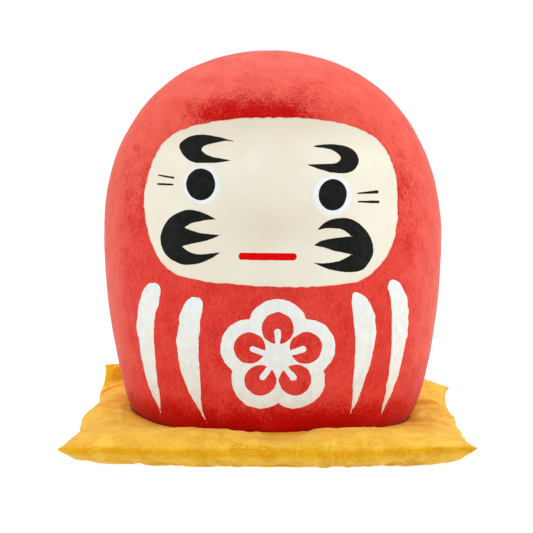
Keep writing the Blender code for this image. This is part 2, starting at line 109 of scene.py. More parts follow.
def cubic(four, t):
    """Catmull-Rom curve between the middle two of four values, at t from 0 to 1."""
    return (
        (-0.5 * t + t * t - 0.5 * t ** 3) * four[0] + (1.0 - 2.5 * t * t + 1.5 * t ** 3) * four[1]
        + (0.5 * t + 2.0 * t * t - 1.5 * t ** 3) * four[2] + (-0.5 * t * t + 0.5 * t ** 3) * four[3]
    )


def spline(points, steps, closed=True):
    """Catmull-Rom curve through 2-D points; a point given twice is a corner."""
    points = np.array(points, float)
    count = len(points)
    index = np.arange(count if closed else count - 1)
    rows = [index + k for k in (-1, 0, 1, 2)]
    four = [points[row % count if closed else np.clip(row, 0, count - 1)] for row in rows]
    curve = np.stack([cubic(four, step / steps) for step in range(steps)], axis=1).reshape(-1, 2)
    if not closed:
        return np.vstack([curve, points[-1]])
    keep = np.hypot(*(curve - np.roll(curve, 1, axis=0)).T) > 1e-6
    return curve[keep]


def polygon_distance(x, z, outline):
    """Signed distance to a closed outline, positive outside it."""
    nearest = np.full(x.shape, 1e9)
    inside = np.zeros(x.shape, bool)
    for (ax, az), (bx, bz) in zip(outline, np.roll(outline, -1, axis=0)):
        dx, dz = bx - ax, bz - az
        t = np.clip(((x - ax) * dx + (z - az) * dz) / (dx * dx + dz * dz + 1e-12), 0.0, 1.0)
        nearest = np.minimum(nearest, np.hypot(x - ax - t * dx, z - az - t * dz))
        if abs(dz) > 1e-12:
            inside ^= ((az > z) != (bz > z)) & (x < ax + (z - az) / dz * dx)
    return np.where(inside, -nearest, nearest)


def lattice(cell, seed):
    """Repeatable value from -1 to 1 for whole-number cells."""
    n = cell[..., 0] * 374761393 + cell[..., 1] * 668265263 + cell[..., 2] * 1442695041 + seed * 1013904223
    n = (n ^ (n >> 13)) & 0x7FFFFFFF
    n = (n * 1274126177) & 0x7FFFFFFF
    n = (n ^ (n >> 16)) & 0xFFFFF
    return n / 0x7FFFF - 1.0


def noise(points, size, seed):
    """Smooth noise from -1 to 1 at points of any shape (..., 3); size is a length or one for each axis."""
    place = points / np.array(size, float) + 0.37 * seed
    cell = np.floor(place).astype(np.int64)
    part = place - cell
    weight = part ** 3 * (part * (part * 6.0 - 15.0) + 10.0)
    total = 0.0
    for corner in np.ndindex(2, 2, 2):
        share = np.prod(np.where(corner, weight, 1.0 - weight), axis=-1)
        total = total + share * lattice(cell + np.array(corner), seed)
    return total


def flat_noise(x, z, size, seed):
    return noise(np.stack([x, np.zeros_like(x) + seed, z], axis=-1), size, seed)


def layered(points, layers):
    """Sum of noises, each given by its height, size and seed."""
    return sum(height * noise(points, size, seed) for height, size, seed in layers)


def thin_lines(points, size, seed, width):
    """Lines where a noise crosses zero: 1 on the line, 0 where the noise is past the width."""
    return 1.0 - np.minimum(1.0, np.abs(noise(points, size, seed)) / width)


def bearing(phi):
    """Direction in degrees from -180 to 180."""
    return np.degrees(np.arctan2(np.sin(phi), np.cos(phi)))


# ---------------------------------------------------------------- doll surface

HAND_WAVES = ((0.30, 26.0, 3), (0.16, 11.0, 4), (0.05, 4.5, 5))
SEATED_Z = 12.0                # below this the paper lies in the cushion and stays even
SEATED_RUN_OUT = 14.0
CROWN_STEPS = 181
LOWER_ROWS = 60                # rows of the outline that hold the base
STEP_ALONG = 0.7               # steps that the normals are measured over
STEP_ROUND = 0.012
POLE = 0.8                     # the normals are upright this close to the crown's middle
BASE_FLAT = 1.0


def body_outline():
    """Half outline of the doll from the base to the crown, with the length along it."""
    lower = spline(LOWER_OUTLINE, 8, closed=False)
    angle = np.radians(np.linspace(0.0, 90.0, CROWN_STEPS)[1:])
    radius = WAIST_R * np.maximum(0.0, np.cos(angle)) ** (2.0 / SIDE_POWER)
    height = WAIST_Z + (CROWN_Z - WAIST_Z) * np.sin(angle) ** (2.0 / CROWN_POWER)
    radius[-1] = 0.0
    curve = np.vstack([lower, np.stack([radius, height], axis=1)])
    length = np.concatenate([[0.0], np.cumsum(np.hypot(*np.diff(curve, axis=0).T))])
    return curve, length


OUTLINE, LENGTHS = body_outline()
FULL_LENGTH = LENGTHS[-1]
WINDOW_CURVE = spline(WINDOW, 4)


def length_at_height(z):
    rising = OUTLINE[:, 1] > BASE_Z + 0.01
    return np.interp(z, OUTLINE[rising, 1], LENGTHS[rising])


def lean(z):
    """How far the axis stands to the right of the middle at a height."""
    return LEAN_FOOT - LEAN_FALL * ((z - LEAN_Z) / LEAN_OVER) ** 2


def recess(x, z):
    """Depth of the dent that holds the face, less the rise of the nose."""
    distance = polygon_distance(x, z, WINDOW_CURVE)
    mask = smooth((RECESS_OUTSIDE - distance) / (RECESS_OUTSIDE + RECESS_INSIDE))
    depth = RECESS_BOTTOM + (RECESS_TOP - RECESS_BOTTOM) * smooth((z - RECESS_LOW_Z) / RECESS_GROWS_OVER)
    nose_x, nose_z, half_x, half_z, rise = NOSE
    bump = rise * np.exp(-((x - nose_x) / half_x) ** 2 - ((z - nose_z) / half_z) ** 2)
    return mask * depth - bump


def body_surface(s, phi):
    """Outer surface at arc length s and angle phi, 0 at the front and positive to +X."""
    radius = np.interp(s, LENGTHS, OUTLINE[:, 0])
    z = np.interp(s, LENGTHS, OUTLINE[:, 1])
    x = radius * np.sin(phi) + lean(z)
    y = -DEPTH_RATIO * radius * np.cos(phi)
    front = np.cos(phi) > 0.05
    if front.any():
        y = y.copy()
        y[front] += recess(x[front], z[front])
    return np.stack([x, y, z], axis=-1)


def body_frame(s, phi):
    """Points and outward unit normals of the smooth body."""
    above = body_surface(np.minimum(s + STEP_ALONG, FULL_LENGTH), phi)
    below = body_surface(np.maximum(s - STEP_ALONG, 0.0), phi)
    across = body_surface(s, phi + STEP_ROUND) - body_surface(s, phi - STEP_ROUND)
    normal = np.cross(across, above - below)
    size = np.linalg.norm(normal, axis=-1, keepdims=True)
    normal = normal / np.maximum(size, 1e-9)
    normal[s > FULL_LENGTH - POLE] = (0.0, 0.0, 1.0)
    normal[s < BASE_FLAT] = (0.0, 0.0, -1.0)
    return body_surface(s, phi), normal


def above_seat(points):
    """0 where the doll is seated in the cushion, 1 above it."""
    return smooth((points[:, 2] - SEATED_Z) / SEATED_RUN_OUT)


def hand_relief(points):
    """Unevenness of the hand-made shell, which every layer on it follows; none where the doll is seated."""
    return layered(points, HAND_WAVES) * above_seat(points)


# ---------------------------------------------------------------- meshes

def add_mesh(name, points, faces, material, sharp=40.0):
    mesh = bpy.data.meshes.new(name)
    mesh.from_pydata([tuple(p) for p in (np.asarray(points) * MM).tolist()], [], faces)
    bm = bmesh.new()
    bm.from_mesh(mesh)
    bmesh.ops.remove_doubles(bm, verts=bm.verts, dist=1e-8)
    bm.to_mesh(mesh)
    bm.free()
    mesh.validate()
    mesh.polygons.foreach_set("use_smooth", [True] * len(mesh.polygons))
    mesh.set_sharp_from_angle(angle=math.radians(sharp))
    mesh.materials.append(material)
    piece = bpy.data.objects.new(name, mesh)
    bpy.context.scene.collection.objects.link(piece)
    return piece


def grid_quads(rows, columns, wrap=False):
    quads = []
    for i in range(rows - 1):
        for j in range(columns if wrap else columns - 1):
            k = (j + 1) % columns
            quads.append((i * columns + j, i * columns + k, (i + 1) * columns + k, (i + 1) * columns + j))
    return quads


def clip(params, faces, field):
    """Keep the part of the faces where field is below zero, cut exactly along its zero line."""
    params = [tuple(p) for p in params.tolist()]
    value = field.tolist()
    inside = [v < 0.0 for v in value]
    cuts = {}
    kept = []
    for face in faces:
        count = sum(inside[v] for v in face)
        if count == len(face):
            kept.append(face)
        elif count:
            polygon = []
            for a, b in zip(face, face[1:] + face[:1]):
                if inside[a]:
                    polygon.append(a)
                if inside[a] != inside[b]:
                    key = (min(a, b), max(a, b))
                    if key not in cuts:
                        t = value[key[0]] / (value[key[0]] - value[key[1]])
                        t = min(0.98, max(0.02, t))
                        start, end = params[key[0]], params[key[1]]
                        cuts[key] = len(params)
                        params.append(tuple(p + (q - p) * t for p, q in zip(start, end)))
                        value.append(0.0)
                        inside.append(True)
                    polygon.append(cuts[key])
            if len(polygon) > 2:
                kept.append(tuple(polygon))
    used = sorted({v for face in kept for v in face})
    renumber = {v: i for i, v in enumerate(used)}
    faces = [tuple(renumber[v] for v in face) for face in kept]
    return np.array([params[v] for v in used]), faces, np.array([value[v] for v in used])


def hem(points, normals, faces, drop):
    """Close the open edges of a sheet with a wall that goes down into what it lies on."""
    edges = {}
    for face in faces:
        for a, b in zip(face, face[1:] + face[:1]):
            edges[(a, b)] = edges.get((a, b), 0) + 1
    border = [(a, b) for a, b in edges if (b, a) not in edges and np.abs(points[a] - points[b]).max() > 1e-4]
    ring = sorted({v for edge in border for v in edge})
    lower = {v: len(points) + i for i, v in enumerate(ring)}
    points = np.vstack([points, points[ring] - normals[ring] * drop])
    walls = [(b, a, lower[a], lower[b]) for a, b in border]
    return points, faces + walls


def skin_piece(name, params, faces, lift, drop, material, detail=None):
    """Sheet that follows the doll's surface at a height above it, with closed edges."""
    points, normals = body_frame(params[:, 0], params[:, 1])
    height = lift + hand_relief(points)
    if detail is not None:
        height = height + detail(points)
    points, faces = hem(points + normals * height[:, None], normals, faces, drop)
    return add_mesh(name, points, faces, material)


def sheet_grid(s, phi):
    """Every pair of the given arc lengths and angles, with the faces between them."""
    params = np.stack(np.meshgrid(s, phi, indexing="ij"), axis=-1).reshape(-1, 2)
    return params, grid_quads(len(s), len(phi))


def surface_grid(low_z, high_z, low_x, high_x, step):
    """Grid in s and phi that covers a box of the doll's front as seen from the front."""
    s = np.arange(length_at_height(low_z), length_at_height(high_z) + step, step)
    radius = np.interp(s, LENGTHS, OUTLINE[:, 0])
    reach = (radius.min(), radius.max())
    left = min(math.asin(max(-SIDE_LIMIT, (low_x - GRID_SPARE) / r)) for r in reach)
    right = max(math.asin(min(SIDE_LIMIT, (high_x + GRID_SPARE) / r)) for r in reach)
    return sheet_grid(s, np.arange(left, right + step / WAIST_R, step / WAIST_R))


def store(piece, label, values):
    """Keep one value for each point of a piece, for its material; points added after these get 0."""
    whole = np.zeros(len(piece.data.vertices))
    whole[:values.size] = values.ravel()
    piece.data.attributes.new(label, "FLOAT", "POINT").data.foreach_set("value", whole)


def paint_film(name, field, box, material, base=0.0, step=0.4, thickness=PAINT):
    """Film of paint where field(x, z) is below zero, thinning towards its edge."""
    low_x, high_x, low_z, high_z = box
    params, quads = surface_grid(low_z, high_z, low_x, high_x, step)
    points = body_surface(params[:, 0], params[:, 1])
    params, faces, value = clip(params, quads, field(points[:, 0], points[:, 2]))
    lift = base + thickness * (PAINT_EDGE + (1.0 - PAINT_EDGE) * smooth(-value / PAINT_WHOLE_AT))
    piece = skin_piece(name, params, faces, lift, thickness * PAINT_EDGE + 0.05, material)
    store(piece, "edge", -value)
    return piece


def outline_box(outline, margin=1.5):
    """Low x, high x, low z and high z of an outline with a margin."""
    low, high = outline.min(axis=0) - margin, outline.max(axis=0) + margin
    return low[0], high[0], low[1], high[1]


# ---------------------------------------------------------------- node materials

def node(tree, kind, settings=None, **inputs):
    made = tree.nodes.new("ShaderNode" + kind)
    for key, value in (settings or {}).items():
        setattr(made, key, value)
    for key, value in inputs.items():
        connect(tree, value, made.inputs[key.replace("_", " ")])
    return made


def connect(tree, value, socket):
    if isinstance(value, bpy.types.NodeSocket):
        tree.links.new(value, socket)
    else:
        socket.default_value = value


def maths(tree, operation, a, b=0.0, c=0.0):
    made = node(tree, "Math", {"operation": operation})
    for value, socket in zip((a, b, c), made.inputs):
        connect(tree, value, socket)
    return made.outputs[0]


def blend(tree, share, first, second):
    """Colour between the first and the second."""
    made = node(tree, "Mix", {"data_type": "RGBA"})
    for value, index in ((share, 0), (first, 6), (second, 7)):
        connect(tree, value, made.inputs[index])
    return made.outputs[2]


def ramp(tree, value, low, high, out_low=0.0, out_high=1.0):
    """Smooth step from out_low at low to out_high at high."""
    made = node(
        tree, "MapRange", {"interpolation_type": "SMOOTHSTEP"}, Value=value, From_Min=low, From_Max=high,
        To_Min=out_low, To_Max=out_high,
    )
    return made.outputs[0]


def stored(tree, label):
    """Value kept on the piece's points by store()."""
    return node(tree, "Attribute", {"attribute_name": label}).outputs["Fac"]


def place_mm(tree, scale=(1.0, 1.0, 1.0)):
    """Position on the piece in millimetres, stretched by scale."""
    coordinate = node(tree, "TexCoord").outputs["Object"]
    return node(tree, "Mapping", Vector=coordinate, Scale=[1000.0 * k for k in scale]).outputs[0]


def grain(tree, place, size, detail=2.0, rough=0.5, warp=0.0):
    """Noise from 0 to 1 with grains of a size in millimetres."""
    made = node(
        tree, "TexNoise", Vector=place, Scale=1.0 / size, Detail=detail, Roughness=rough, Distortion=warp,
    )
    return made.outputs[0]


def line_net(tree, place, size, width, detail=1.0, warp=0.0):
    """Thin lines where a noise crosses its middle: 1 on the line, 0 away from it."""
    above = maths(tree, "SUBTRACT", grain(tree, place, size, detail, 0.5, warp), 0.5)
    offset = maths(tree, "ABSOLUTE", above)
    return ramp(tree, offset, 0.0, width, 1.0, 0.0)


def surface(name, roughness, **sockets):
    """New material with its shader; returns material, tree, shader."""
    made = bpy.data.materials.new(name)
    made.use_nodes = True
    tree = made.node_tree
    shader = tree.nodes["Principled BSDF"]
    connect(tree, roughness, shader.inputs["Roughness"])
    for key, value in sockets.items():
        shader.inputs[key.replace("_", " ")].default_value = value
    return made, tree, shader


def bump(tree, shader, height, distance):
    """Bump from a height of 0 to 1 that stands for a distance in millimetres."""
    made = node(tree, "Bump", Height=height, Distance=distance * MM, Strength=1.0)
    tree.links.new(made.outputs[0], shader.inputs["Normal"])


FIBRE_TURN_Z = 92.0            # the fibres turn over the crown round this height
FIBRE_TURN_R = 74.0
FIBRE_WANDER = (14.0, 14.0, 14.0)
FIBRE_WANDER_SIZE = 30.0


def fibre_place(tree):
    """Position whose first axis runs across the paper's fibres: they run up the sides and over the crown."""
    place = place_mm(tree)
    drift = node(tree, "VectorMath", {"operation": "MULTIPLY_ADD"})
    wander = node(tree, "TexNoise", Vector=place, Scale=1.0 / FIBRE_WANDER_SIZE, Detail=1.0).outputs["Color"]
    tree.links.new(wander, drift.inputs[0])
    drift.inputs[1].default_value = FIBRE_WANDER
    tree.links.new(place, drift.inputs[2])
    parts = node(tree, "SeparateXYZ", Vector=drift.outputs[0])
    x, y, z = parts.outputs
    up = maths(tree, "MAXIMUM", maths(tree, "SUBTRACT", z, FIBRE_TURN_Z), 0.0)
    squares = maths(tree, "ADD", maths(tree, "MULTIPLY", x, x), maths(tree, "MULTIPLY", up, up))
    across = maths(tree, "SQRT", squares)
    turn = maths(tree, "ARCTAN2", up, maths(tree, "ABSOLUTE", x))
    along = maths(tree, "MULTIPLY_ADD", turn, FIBRE_TURN_R, maths(tree, "MINIMUM", z, FIBRE_TURN_Z))
    return node(tree, "CombineXYZ", X=across, Y=y, Z=along).outputs[0]


def stretched(tree, place, scale):
    """The place scaled along each axis, so that what is drawn with it is longer where the scale is small."""
    return node(tree, "Mapping", Vector=place, Scale=scale).outputs[0]


def red_paper(name):
    """Dyed long-fibre paper: streaks, dark hairs, pale strands, painted shade (deeper red) in places and
    painted sheen (paler red) in others.
    """
    made, tree, shader = surface(
        name, 0.5, Specular_IOR_Level=0.07, Sheen_Weight=0.17, Sheen_Roughness=0.36,
        Sheen_Tint=(1.0, 0.72, 0.60, 1.0),
    )
    place = place_mm(tree)
    fibre = fibre_place(tree)
    streak = grain(tree, stretched(tree, fibre, (1.0, 1.0, 0.16)), 0.75, 3.0, 0.65)
    cloud = grain(tree, place, 9.0, 4.0, 0.65)
    speck = grain(tree, place, 0.7, 2.0, 0.65)
    hair = line_net(tree, stretched(tree, fibre, (1.0, 1.0, 0.40)), 3.6, 0.012, 2.0, 1.2)
    hair = maths(tree, "MULTIPLY", hair, ramp(tree, grain(tree, place, 7.0, 1.0), 0.45, 0.60))
    strand = line_net(tree, stretched(tree, fibre, (0.8, 1.0, 0.45)), 3.0, 0.014, 2.0, 1.4)
    strand = maths(tree, "MULTIPLY", strand, ramp(tree, grain(tree, place, 5.0, 1.0, 0.5, 0.5), 0.50, 0.62))
    tone = maths(tree, "MULTIPLY_ADD", streak, 0.26, maths(tree, "MULTIPLY", cloud, 0.36))
    tone = maths(tree, "MULTIPLY_ADD", speck, 0.38, tone)
    deep_shade = stored(tree, "deep_shade")
    pale_sheen = stored(tree, "pale_sheen")
    # painted shade: deeper red at the foot, under the brow and beside the face, broken up by the paper's tone
    deep_shade_mix = maths(tree, "MULTIPLY_ADD", maths(tree, "SUBTRACT", 0.5, tone), 3.0, deep_shade)
    colour = blend(tree, ramp(tree, tone, 0.32, 0.68), (0.66, 0.023, 0.017, 1.0), (0.82, 0.078, 0.054, 1.0))
    # painted sheen: paler red round the crown and down the flanks, mixed with the paper's random tone
    tone_and_sheen = maths(tree, "MULTIPLY_ADD", maths(tree, "SUBTRACT", tone, 0.5), 1.6, pale_sheen)
    colour = blend(tree, ramp(tree, tone_and_sheen, 0.0, 1.3), colour, (0.87, 0.152, 0.108, 1.0))
    # colour of the painted shade
    colour = blend(tree, ramp(tree, deep_shade_mix, 0.15, 0.95), colour, (0.56, 0.0015, 0.001, 1.0))
    colour = blend(tree, maths(tree, "MULTIPLY", strand, 0.30), colour, (0.90, 0.170, 0.120, 1.0))
    colour = blend(tree, maths(tree, "MULTIPLY", hair, 0.45), colour, (0.30, 0.002, 0.004, 1.0))
    tree.links.new(colour, shader.inputs["Base Color"])
    tree.links.new(ramp(tree, tone, 0.3, 0.7, 0.62, 0.46), shader.inputs["Roughness"])
    height = maths(tree, "MULTIPLY_ADD", speck, 0.6, streak)
    height = maths(tree, "MULTIPLY_ADD", strand, 0.6, height)
    bump(tree, shader, height, 0.13)
    return made


def painted(name, dark, light, roughness, size=3.0, brush=(1.0, 1.0, 1.0), depth=0.03, **extra):
    """Brushed matt paint between two colours; returns material, tree, shader and colour."""
    made, tree, shader = surface(name, roughness, **{"Specular_IOR_Level": 0.2, **extra})
    place = place_mm(tree, brush)
    cloud = grain(tree, place, size, 4.0, 0.6)
    fine = grain(tree, place_mm(tree), 0.5, 2.0, 0.6)
    colour = blend(tree, ramp(tree, cloud, 0.35, 0.65), dark, light)
    tree.links.new(colour, shader.inputs["Base Color"])
    tree.links.new(ramp(tree, fine, 0.3, 0.7, roughness - 0.07, roughness + 0.07), shader.inputs["Roughness"])
    bump(tree, shader, maths(tree, "MULTIPLY_ADD", cloud, 0.6, fine), depth)
    return made, tree, shader, colour


def halo_paint(name):
    """Thin white wash that fades into the cream round each eye."""
    made, tree, shader, colour = painted(
        name, (0.80, 0.86, 0.865, 1.0), (0.87, 0.925, 0.93, 1.0), 0.5, 2.0, depth=0.02,
    )
    edge = stored(tree, "edge")
    colour = blend(tree, ramp(tree, edge, 0.0, 2.3), (0.82, 0.78, 0.68, 1.0), colour)
    tree.links.new(colour, shader.inputs["Base Color"])
    return made


def gold_paper(name):
    """Kneaded dyed paper: fine fibres, pale scuffed ridges, painted highlight on faces that turn up, painted
    bounce light low on the underside, and painted shade (deeper orange) down in the folds.
    """
    made, tree, shader = surface(
        name, 0.6, Specular_IOR_Level=0.08, Sheen_Weight=0.30, Sheen_Roughness=0.45,
        Sheen_Tint=(1.0, 0.86, 0.45, 1.0),
    )
    place = place_mm(tree)
    cloud = grain(tree, place, 8.0, 4.0, 0.65)
    minor = line_net(tree, stretched(tree, place, (0.6, 1.0, 1.2)), 2.6, 0.030, 2.0, 0.8)
    minor = maths(tree, "MULTIPLY", minor, ramp(tree, grain(tree, place, 6.0, 1.0), 0.42, 0.62))
    fibre = grain(tree, stretched(tree, place, (0.35, 1.0, 1.0)), 0.45, 3.0, 0.7)
    tone = maths(tree, "MULTIPLY_ADD", fibre, 0.45, maths(tree, "MULTIPLY", cloud, 0.55))
    pale_and_lit = stored(tree, "pale_and_lit")
    fold = stored(tree, "fold")
    rub_and_light = maths(tree, "MULTIPLY_ADD", maths(tree, "SUBTRACT", tone, 0.5), 1.2, pale_and_lit)
    colour = blend(tree, ramp(tree, tone, 0.36, 0.64), (0.76, 0.350, 0.002, 1.0), (0.92, 0.51, 0.014, 1.0))
    # paler gold: scuffed crease lines, painted highlight on faces that turn up, painted bounce light low on
    # the underside
    colour = blend(tree, ramp(tree, rub_and_light, 0.0, 1.2, 0.0, 0.85), colour, (0.97, 0.68, 0.15, 1.0))
    colour = blend(tree, maths(tree, "MULTIPLY", minor, 0.28), colour, (0.66, 0.27, 0.002, 1.0))
    # painted shade: deeper orange in the folds, along the crease lines and along the seam's groove
    colour = blend(tree, ramp(tree, fold, 0.0, 1.0, 0.0, 0.92), colour, (0.92, 0.29, 0.004, 1.0))
    tree.links.new(colour, shader.inputs["Base Color"])
    tree.links.new(ramp(tree, tone, 0.3, 0.7, 0.70, 0.52), shader.inputs["Roughness"])
    height = maths(tree, "MULTIPLY_ADD", minor, 0.5, fibre)
    bump(tree, shader, height, 0.26)
    return made


def raw_paper(name, dark, light, size, depth):
    """Undyed paper, clay or cotton with a few paler strands."""
    made, tree, shader, colour = painted(name, dark, light, 0.85, size, depth=depth)
    strands = line_net(tree, place_mm(tree, (1.0, 1.0, 0.6)), 4.0, 0.02, 2.0, 0.8)
    colour = blend(tree, maths(tree, "MULTIPLY", strands, 0.5), colour, light)
    tree.links.new(colour, shader.inputs["Base Color"])
    return made


# ---------------------------------------------------------------- camera and light

CAMERA_DISTANCE = 806.0
CAMERA_HEIGHT = 137.5
CAMERA_PITCH = 4.46            # degrees down
CAMERA_TURN = 1.6              # degrees round to the right
CAMERA_LEFT = 2.4
LENS = 124.28
SENSOR = 36.0
WORLD_LIGHT = 0.2
SUNS = [
    # name, bearing, height, width in degrees, strength
    ("front_overhead", 0.0, 58.0, 60.0, 1.65),
    ("rear_overhead", 180.0, 62.0, 60.0, 1.7),
]
BOXES = [
    # name, place and size in metres, power
    ("left_box", (-0.95, -0.05, 0.35), (0.6, 0.8), 2.7),
    ("right_box", (0.95, 0.0, 0.35), (0.6, 0.8), 4.2),
]
FLOOR_GLOW = 0.9
FLOOR_HALF = 6000.0
LIGHT_TARGET = (0.0, 0.0, 0.08)


def make_camera():
    data = bpy.data.cameras.new("camera")
    data.lens = LENS
    data.sensor_width = SENSOR
    data.clip_start = 0.05
    data.clip_end = 20.0
    turn = math.radians(CAMERA_TURN)
    piece = bpy.data.objects.new("camera", data)
    piece.location = (
        (math.sin(turn) * CAMERA_DISTANCE - math.cos(turn) * CAMERA_LEFT) * MM,
        (-math.cos(turn) * CAMERA_DISTANCE - math.sin(turn) * CAMERA_LEFT) * MM,
        CAMERA_HEIGHT * MM,
    )
    piece.rotation_euler = (math.radians(90.0 - CAMERA_PITCH), 0.0, turn)
    bpy.context.scene.collection.objects.link(piece)
    bpy.context.scene.camera = piece


def add_light(name, place, size, power):
    """Soft box beside the object, turned to its middle."""
    data = bpy.data.lights.new(name, "AREA")
    data.shape = "RECTANGLE"
    data.size, data.size_y = size
    data.energy = power
    lamp = bpy.data.objects.new(name, data)
    lamp.location = place
    direction = mathutils.Vector(LIGHT_TARGET) - mathutils.Vector(place)
    lamp.rotation_euler = direction.to_track_quat("-Z", "Y").to_euler()
    bpy.context.scene.collection.objects.link(lamp)


def make_world():
    """White all round for the eye, and an even dim light on the object."""
    world = bpy.data.worlds.new("studio")
    world.use_nodes = True
    tree = world.node_tree
    tree.nodes.clear()
    seen = node(tree, "LightPath").outputs["Is Camera Ray"]
    strength = ramp(tree, seen, 0.0, 1.0, WORLD_LIGHT, 1.0)
    background = node(tree, "Background", Color=(1.0, 1.0, 1.0, 1.0), Strength=strength)
    output = tree.nodes.new("ShaderNodeOutputWorld")
    tree.links.new(background.outputs[0], output.inputs["Surface"])
    bpy.context.scene.world = world


def add_sun(name, turn, height, angle, power):
    """Soft overhead light from a bearing (0 in front, positive to +X) and a height in degrees."""
    data = bpy.data.lights.new(name, "SUN")
    data.energy = power
    data.angle = math.radians(angle)
    lamp = bpy.data.objects.new(name, data)
    lamp.rotation_euler = (math.radians(90.0 - height), 0.0, math.radians(turn))
    bpy.context.scene.collection.objects.link(lamp)


def make_studio():
    make_world()
    bpy.context.scene.view_settings.view_transform = "Standard"
    for name, turn, height, angle, power in SUNS:
        add_sun(name, turn, height, angle, power)
    for name, place, size, power in BOXES:
        add_light(name, place, size, power)
    finish = painted(
        "floor", (0.16, 0.16, 0.16, 1.0), (0.18, 0.18, 0.18, 1.0), 0.9, 60.0, depth=0.01,
        Emission_Color=(1.0, 1.0, 1.0, 1.0), Emission_Strength=FLOOR_GLOW,
    )[0]
    corners = [(x * FLOOR_HALF, y * FLOOR_HALF, 0.0) for x, y in ((-1, -1), (1, -1), (1, 1), (-1, 1))]
    floor = add_mesh("floor", corners, [(0, 1, 2, 3)], finish)


make_camera()
make_studio()

# ---------------------------------------------------------------- red paper and face

def cream_paint(name):
    """Matt cream ground of the face, with painted shade (warmer, darker cream) under the brow and round the
    nose.
    """
    made, tree, shader, colour = painted(
        name, (0.83, 0.775, 0.635, 1.0), (0.86, 0.82, 0.69, 1.0), 0.52, 14.0, depth=0.02,
    )
    face_shade = stored(tree, "face_shade")
    # painted shade: darker, warmer cream under the brow and round the nose
    colour = blend(tree, face_shade, colour, (0.76, 0.685, 0.545, 1.0))
    tree.links.new(colour, shader.inputs["Base Color"])
    return made


RED = red_paper("red_washi")
CREAM = cream_paint("cream_face")
BLACK = painted(
    "black_paint", (0.005, 0.006, 0.004, 1.0), (0.011, 0.012, 0.010, 1.0), 0.5, 2.2, depth=0.05,
    Specular_IOR_Level=0.1,
)[0]
WHITE = painted(
    "white_paint", (0.80, 0.835, 0.805, 1.0), (0.88, 0.915, 0.885, 1.0), 0.6, 2.4, (1.0, 1.0, 0.5),
    depth=0.05,
)[0]
SCARLET = painted(
    "scarlet_paint", (0.70, 0.0005, 0.0005, 1.0), (0.76, 0.001, 0.001, 1.0), 0.5, 2.5, depth=0.04,
    Specular_IOR_Level=0.06,
)[0]
HALO = halo_paint("halo_white")


WINDOW_TEARS = ((0.20, 2.3, 11), (0.14, 1.1, 12), (0.15, 17.0, 13))   # height, size, seed
REAR_TEARS = ((0.9, 7.0, 21), (0.5, 2.4, 22))
RED_HEM = 0.42                 # the red paper's cut edge goes down this far
TUCK = 0.16                    # and lies this much lower at the edge
LAP_RISE = 0.13                # the rear paper rises over the front one by this
WHITE_PAINT = 0.12


def window_field(x, z):
    """Distance outside the hand-cut edge of the window, with the small tears of its paper."""
    tears = sum(height * flat_noise(x, z, size, seed) for height, size, seed in WINDOW_TEARS)
    return polygon_distance(x, z, WINDOW_CURVE) + tears


def uneven(spans):
    """Numbers along consecutive spans, each given as (end, step); the first span is only a start."""
    values = [np.array([spans[0][0]])]
    for (start, _), (end, step) in zip(spans, spans[1:]):
        count = max(1, int(round((end - start) / step)))
        values.append(np.linspace(start, end, count + 1)[1:])
    return np.concatenate(values)


def turned_in_length():
    """Arc length where the red paper ends, turned in under the base."""
    return float(np.interp(SKIN_BASE_R, OUTLINE[:LOWER_ROWS, 0], LENGTHS[:LOWER_ROWS]))


FRONT_SIDE = math.radians(93.0)    # the front paper's grid reaches round to here
FACE_SIDE = math.radians(50.0)     # and is finer within this turn and these heights
FACE_LOW_Z = 64.0
FACE_HIGH_Z = 147.0
FINE = 0.6                         # steps of the grid in millimetres
COARSE = 1.15
REAR_SIDE = math.radians(85.0)
REAR_COLUMNS = 241
OVERLAP = 1.5                      # the front paper runs this far under the rear one


def red_piece(name, params, faces, lift, drop):
    """One of the two red papers, with the strength of its painted shade and of its painted sheen."""
    piece = skin_piece(name, params, faces, lift, drop, RED, strand_relief)
    add_field(piece, "deep_shade", deep_shade_amount)
    add_field(piece, "pale_sheen", pale_sheen_amount)
    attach(piece, "doll")
    return piece


def red_front():
    low, high = length_at_height(FACE_LOW_Z), length_at_height(FACE_HIGH_Z)
    s = uneven([(turned_in_length(), 0), (low, COARSE), (high, FINE), (FULL_LENGTH, 1.0)])
    step = 1.0 / WAIST_R
    phi = uneven([
        (-FRONT_SIDE, 0), (-FACE_SIDE, COARSE * step), (FACE_SIDE, FINE * step), (FRONT_SIDE, COARSE * step),
    ])
    params, quads = sheet_grid(s, phi)
    points = body_surface(params[:, 0], params[:, 1])
    outside = -window_field(points[:, 0], points[:, 2])
    behind = points[:, 1] - OVERLAP
    params, faces, value = clip(params, quads, np.maximum(outside, behind))
    piece = red_piece("red_paper_front", params, faces, -TUCK * (1.0 - smooth(-value / 0.6)), RED_HEM)
    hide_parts("red_washi_front")


def deep_shade_amount(points):
    """Painted shade on the red paper, as deeper red: at the foot, under the brow, beside the face and a
    little on the belly.
    """
    x, z = points[:, 0], points[:, 2]
    foot = 1.0 - smooth((z - 13.0) / 17.0)
    brow = np.exp(-((x + 6.0) / 27.0) ** 4 - ((z - 141.0) / 8.5) ** 2)
    beside = 0.45 * np.exp(-((np.abs(x) - 55.0) / 7.0) ** 2 - ((z - 108.0) / 24.0) ** 2)
    belly = 0.25 * np.exp(-(x / 40.0) ** 2 - ((z - 45.0) / 18.0) ** 2)
    front = smooth((10.0 - points[:, 1]) / 30.0)
    return np.maximum(foot, front * (1.05 * brow + beside + belly))


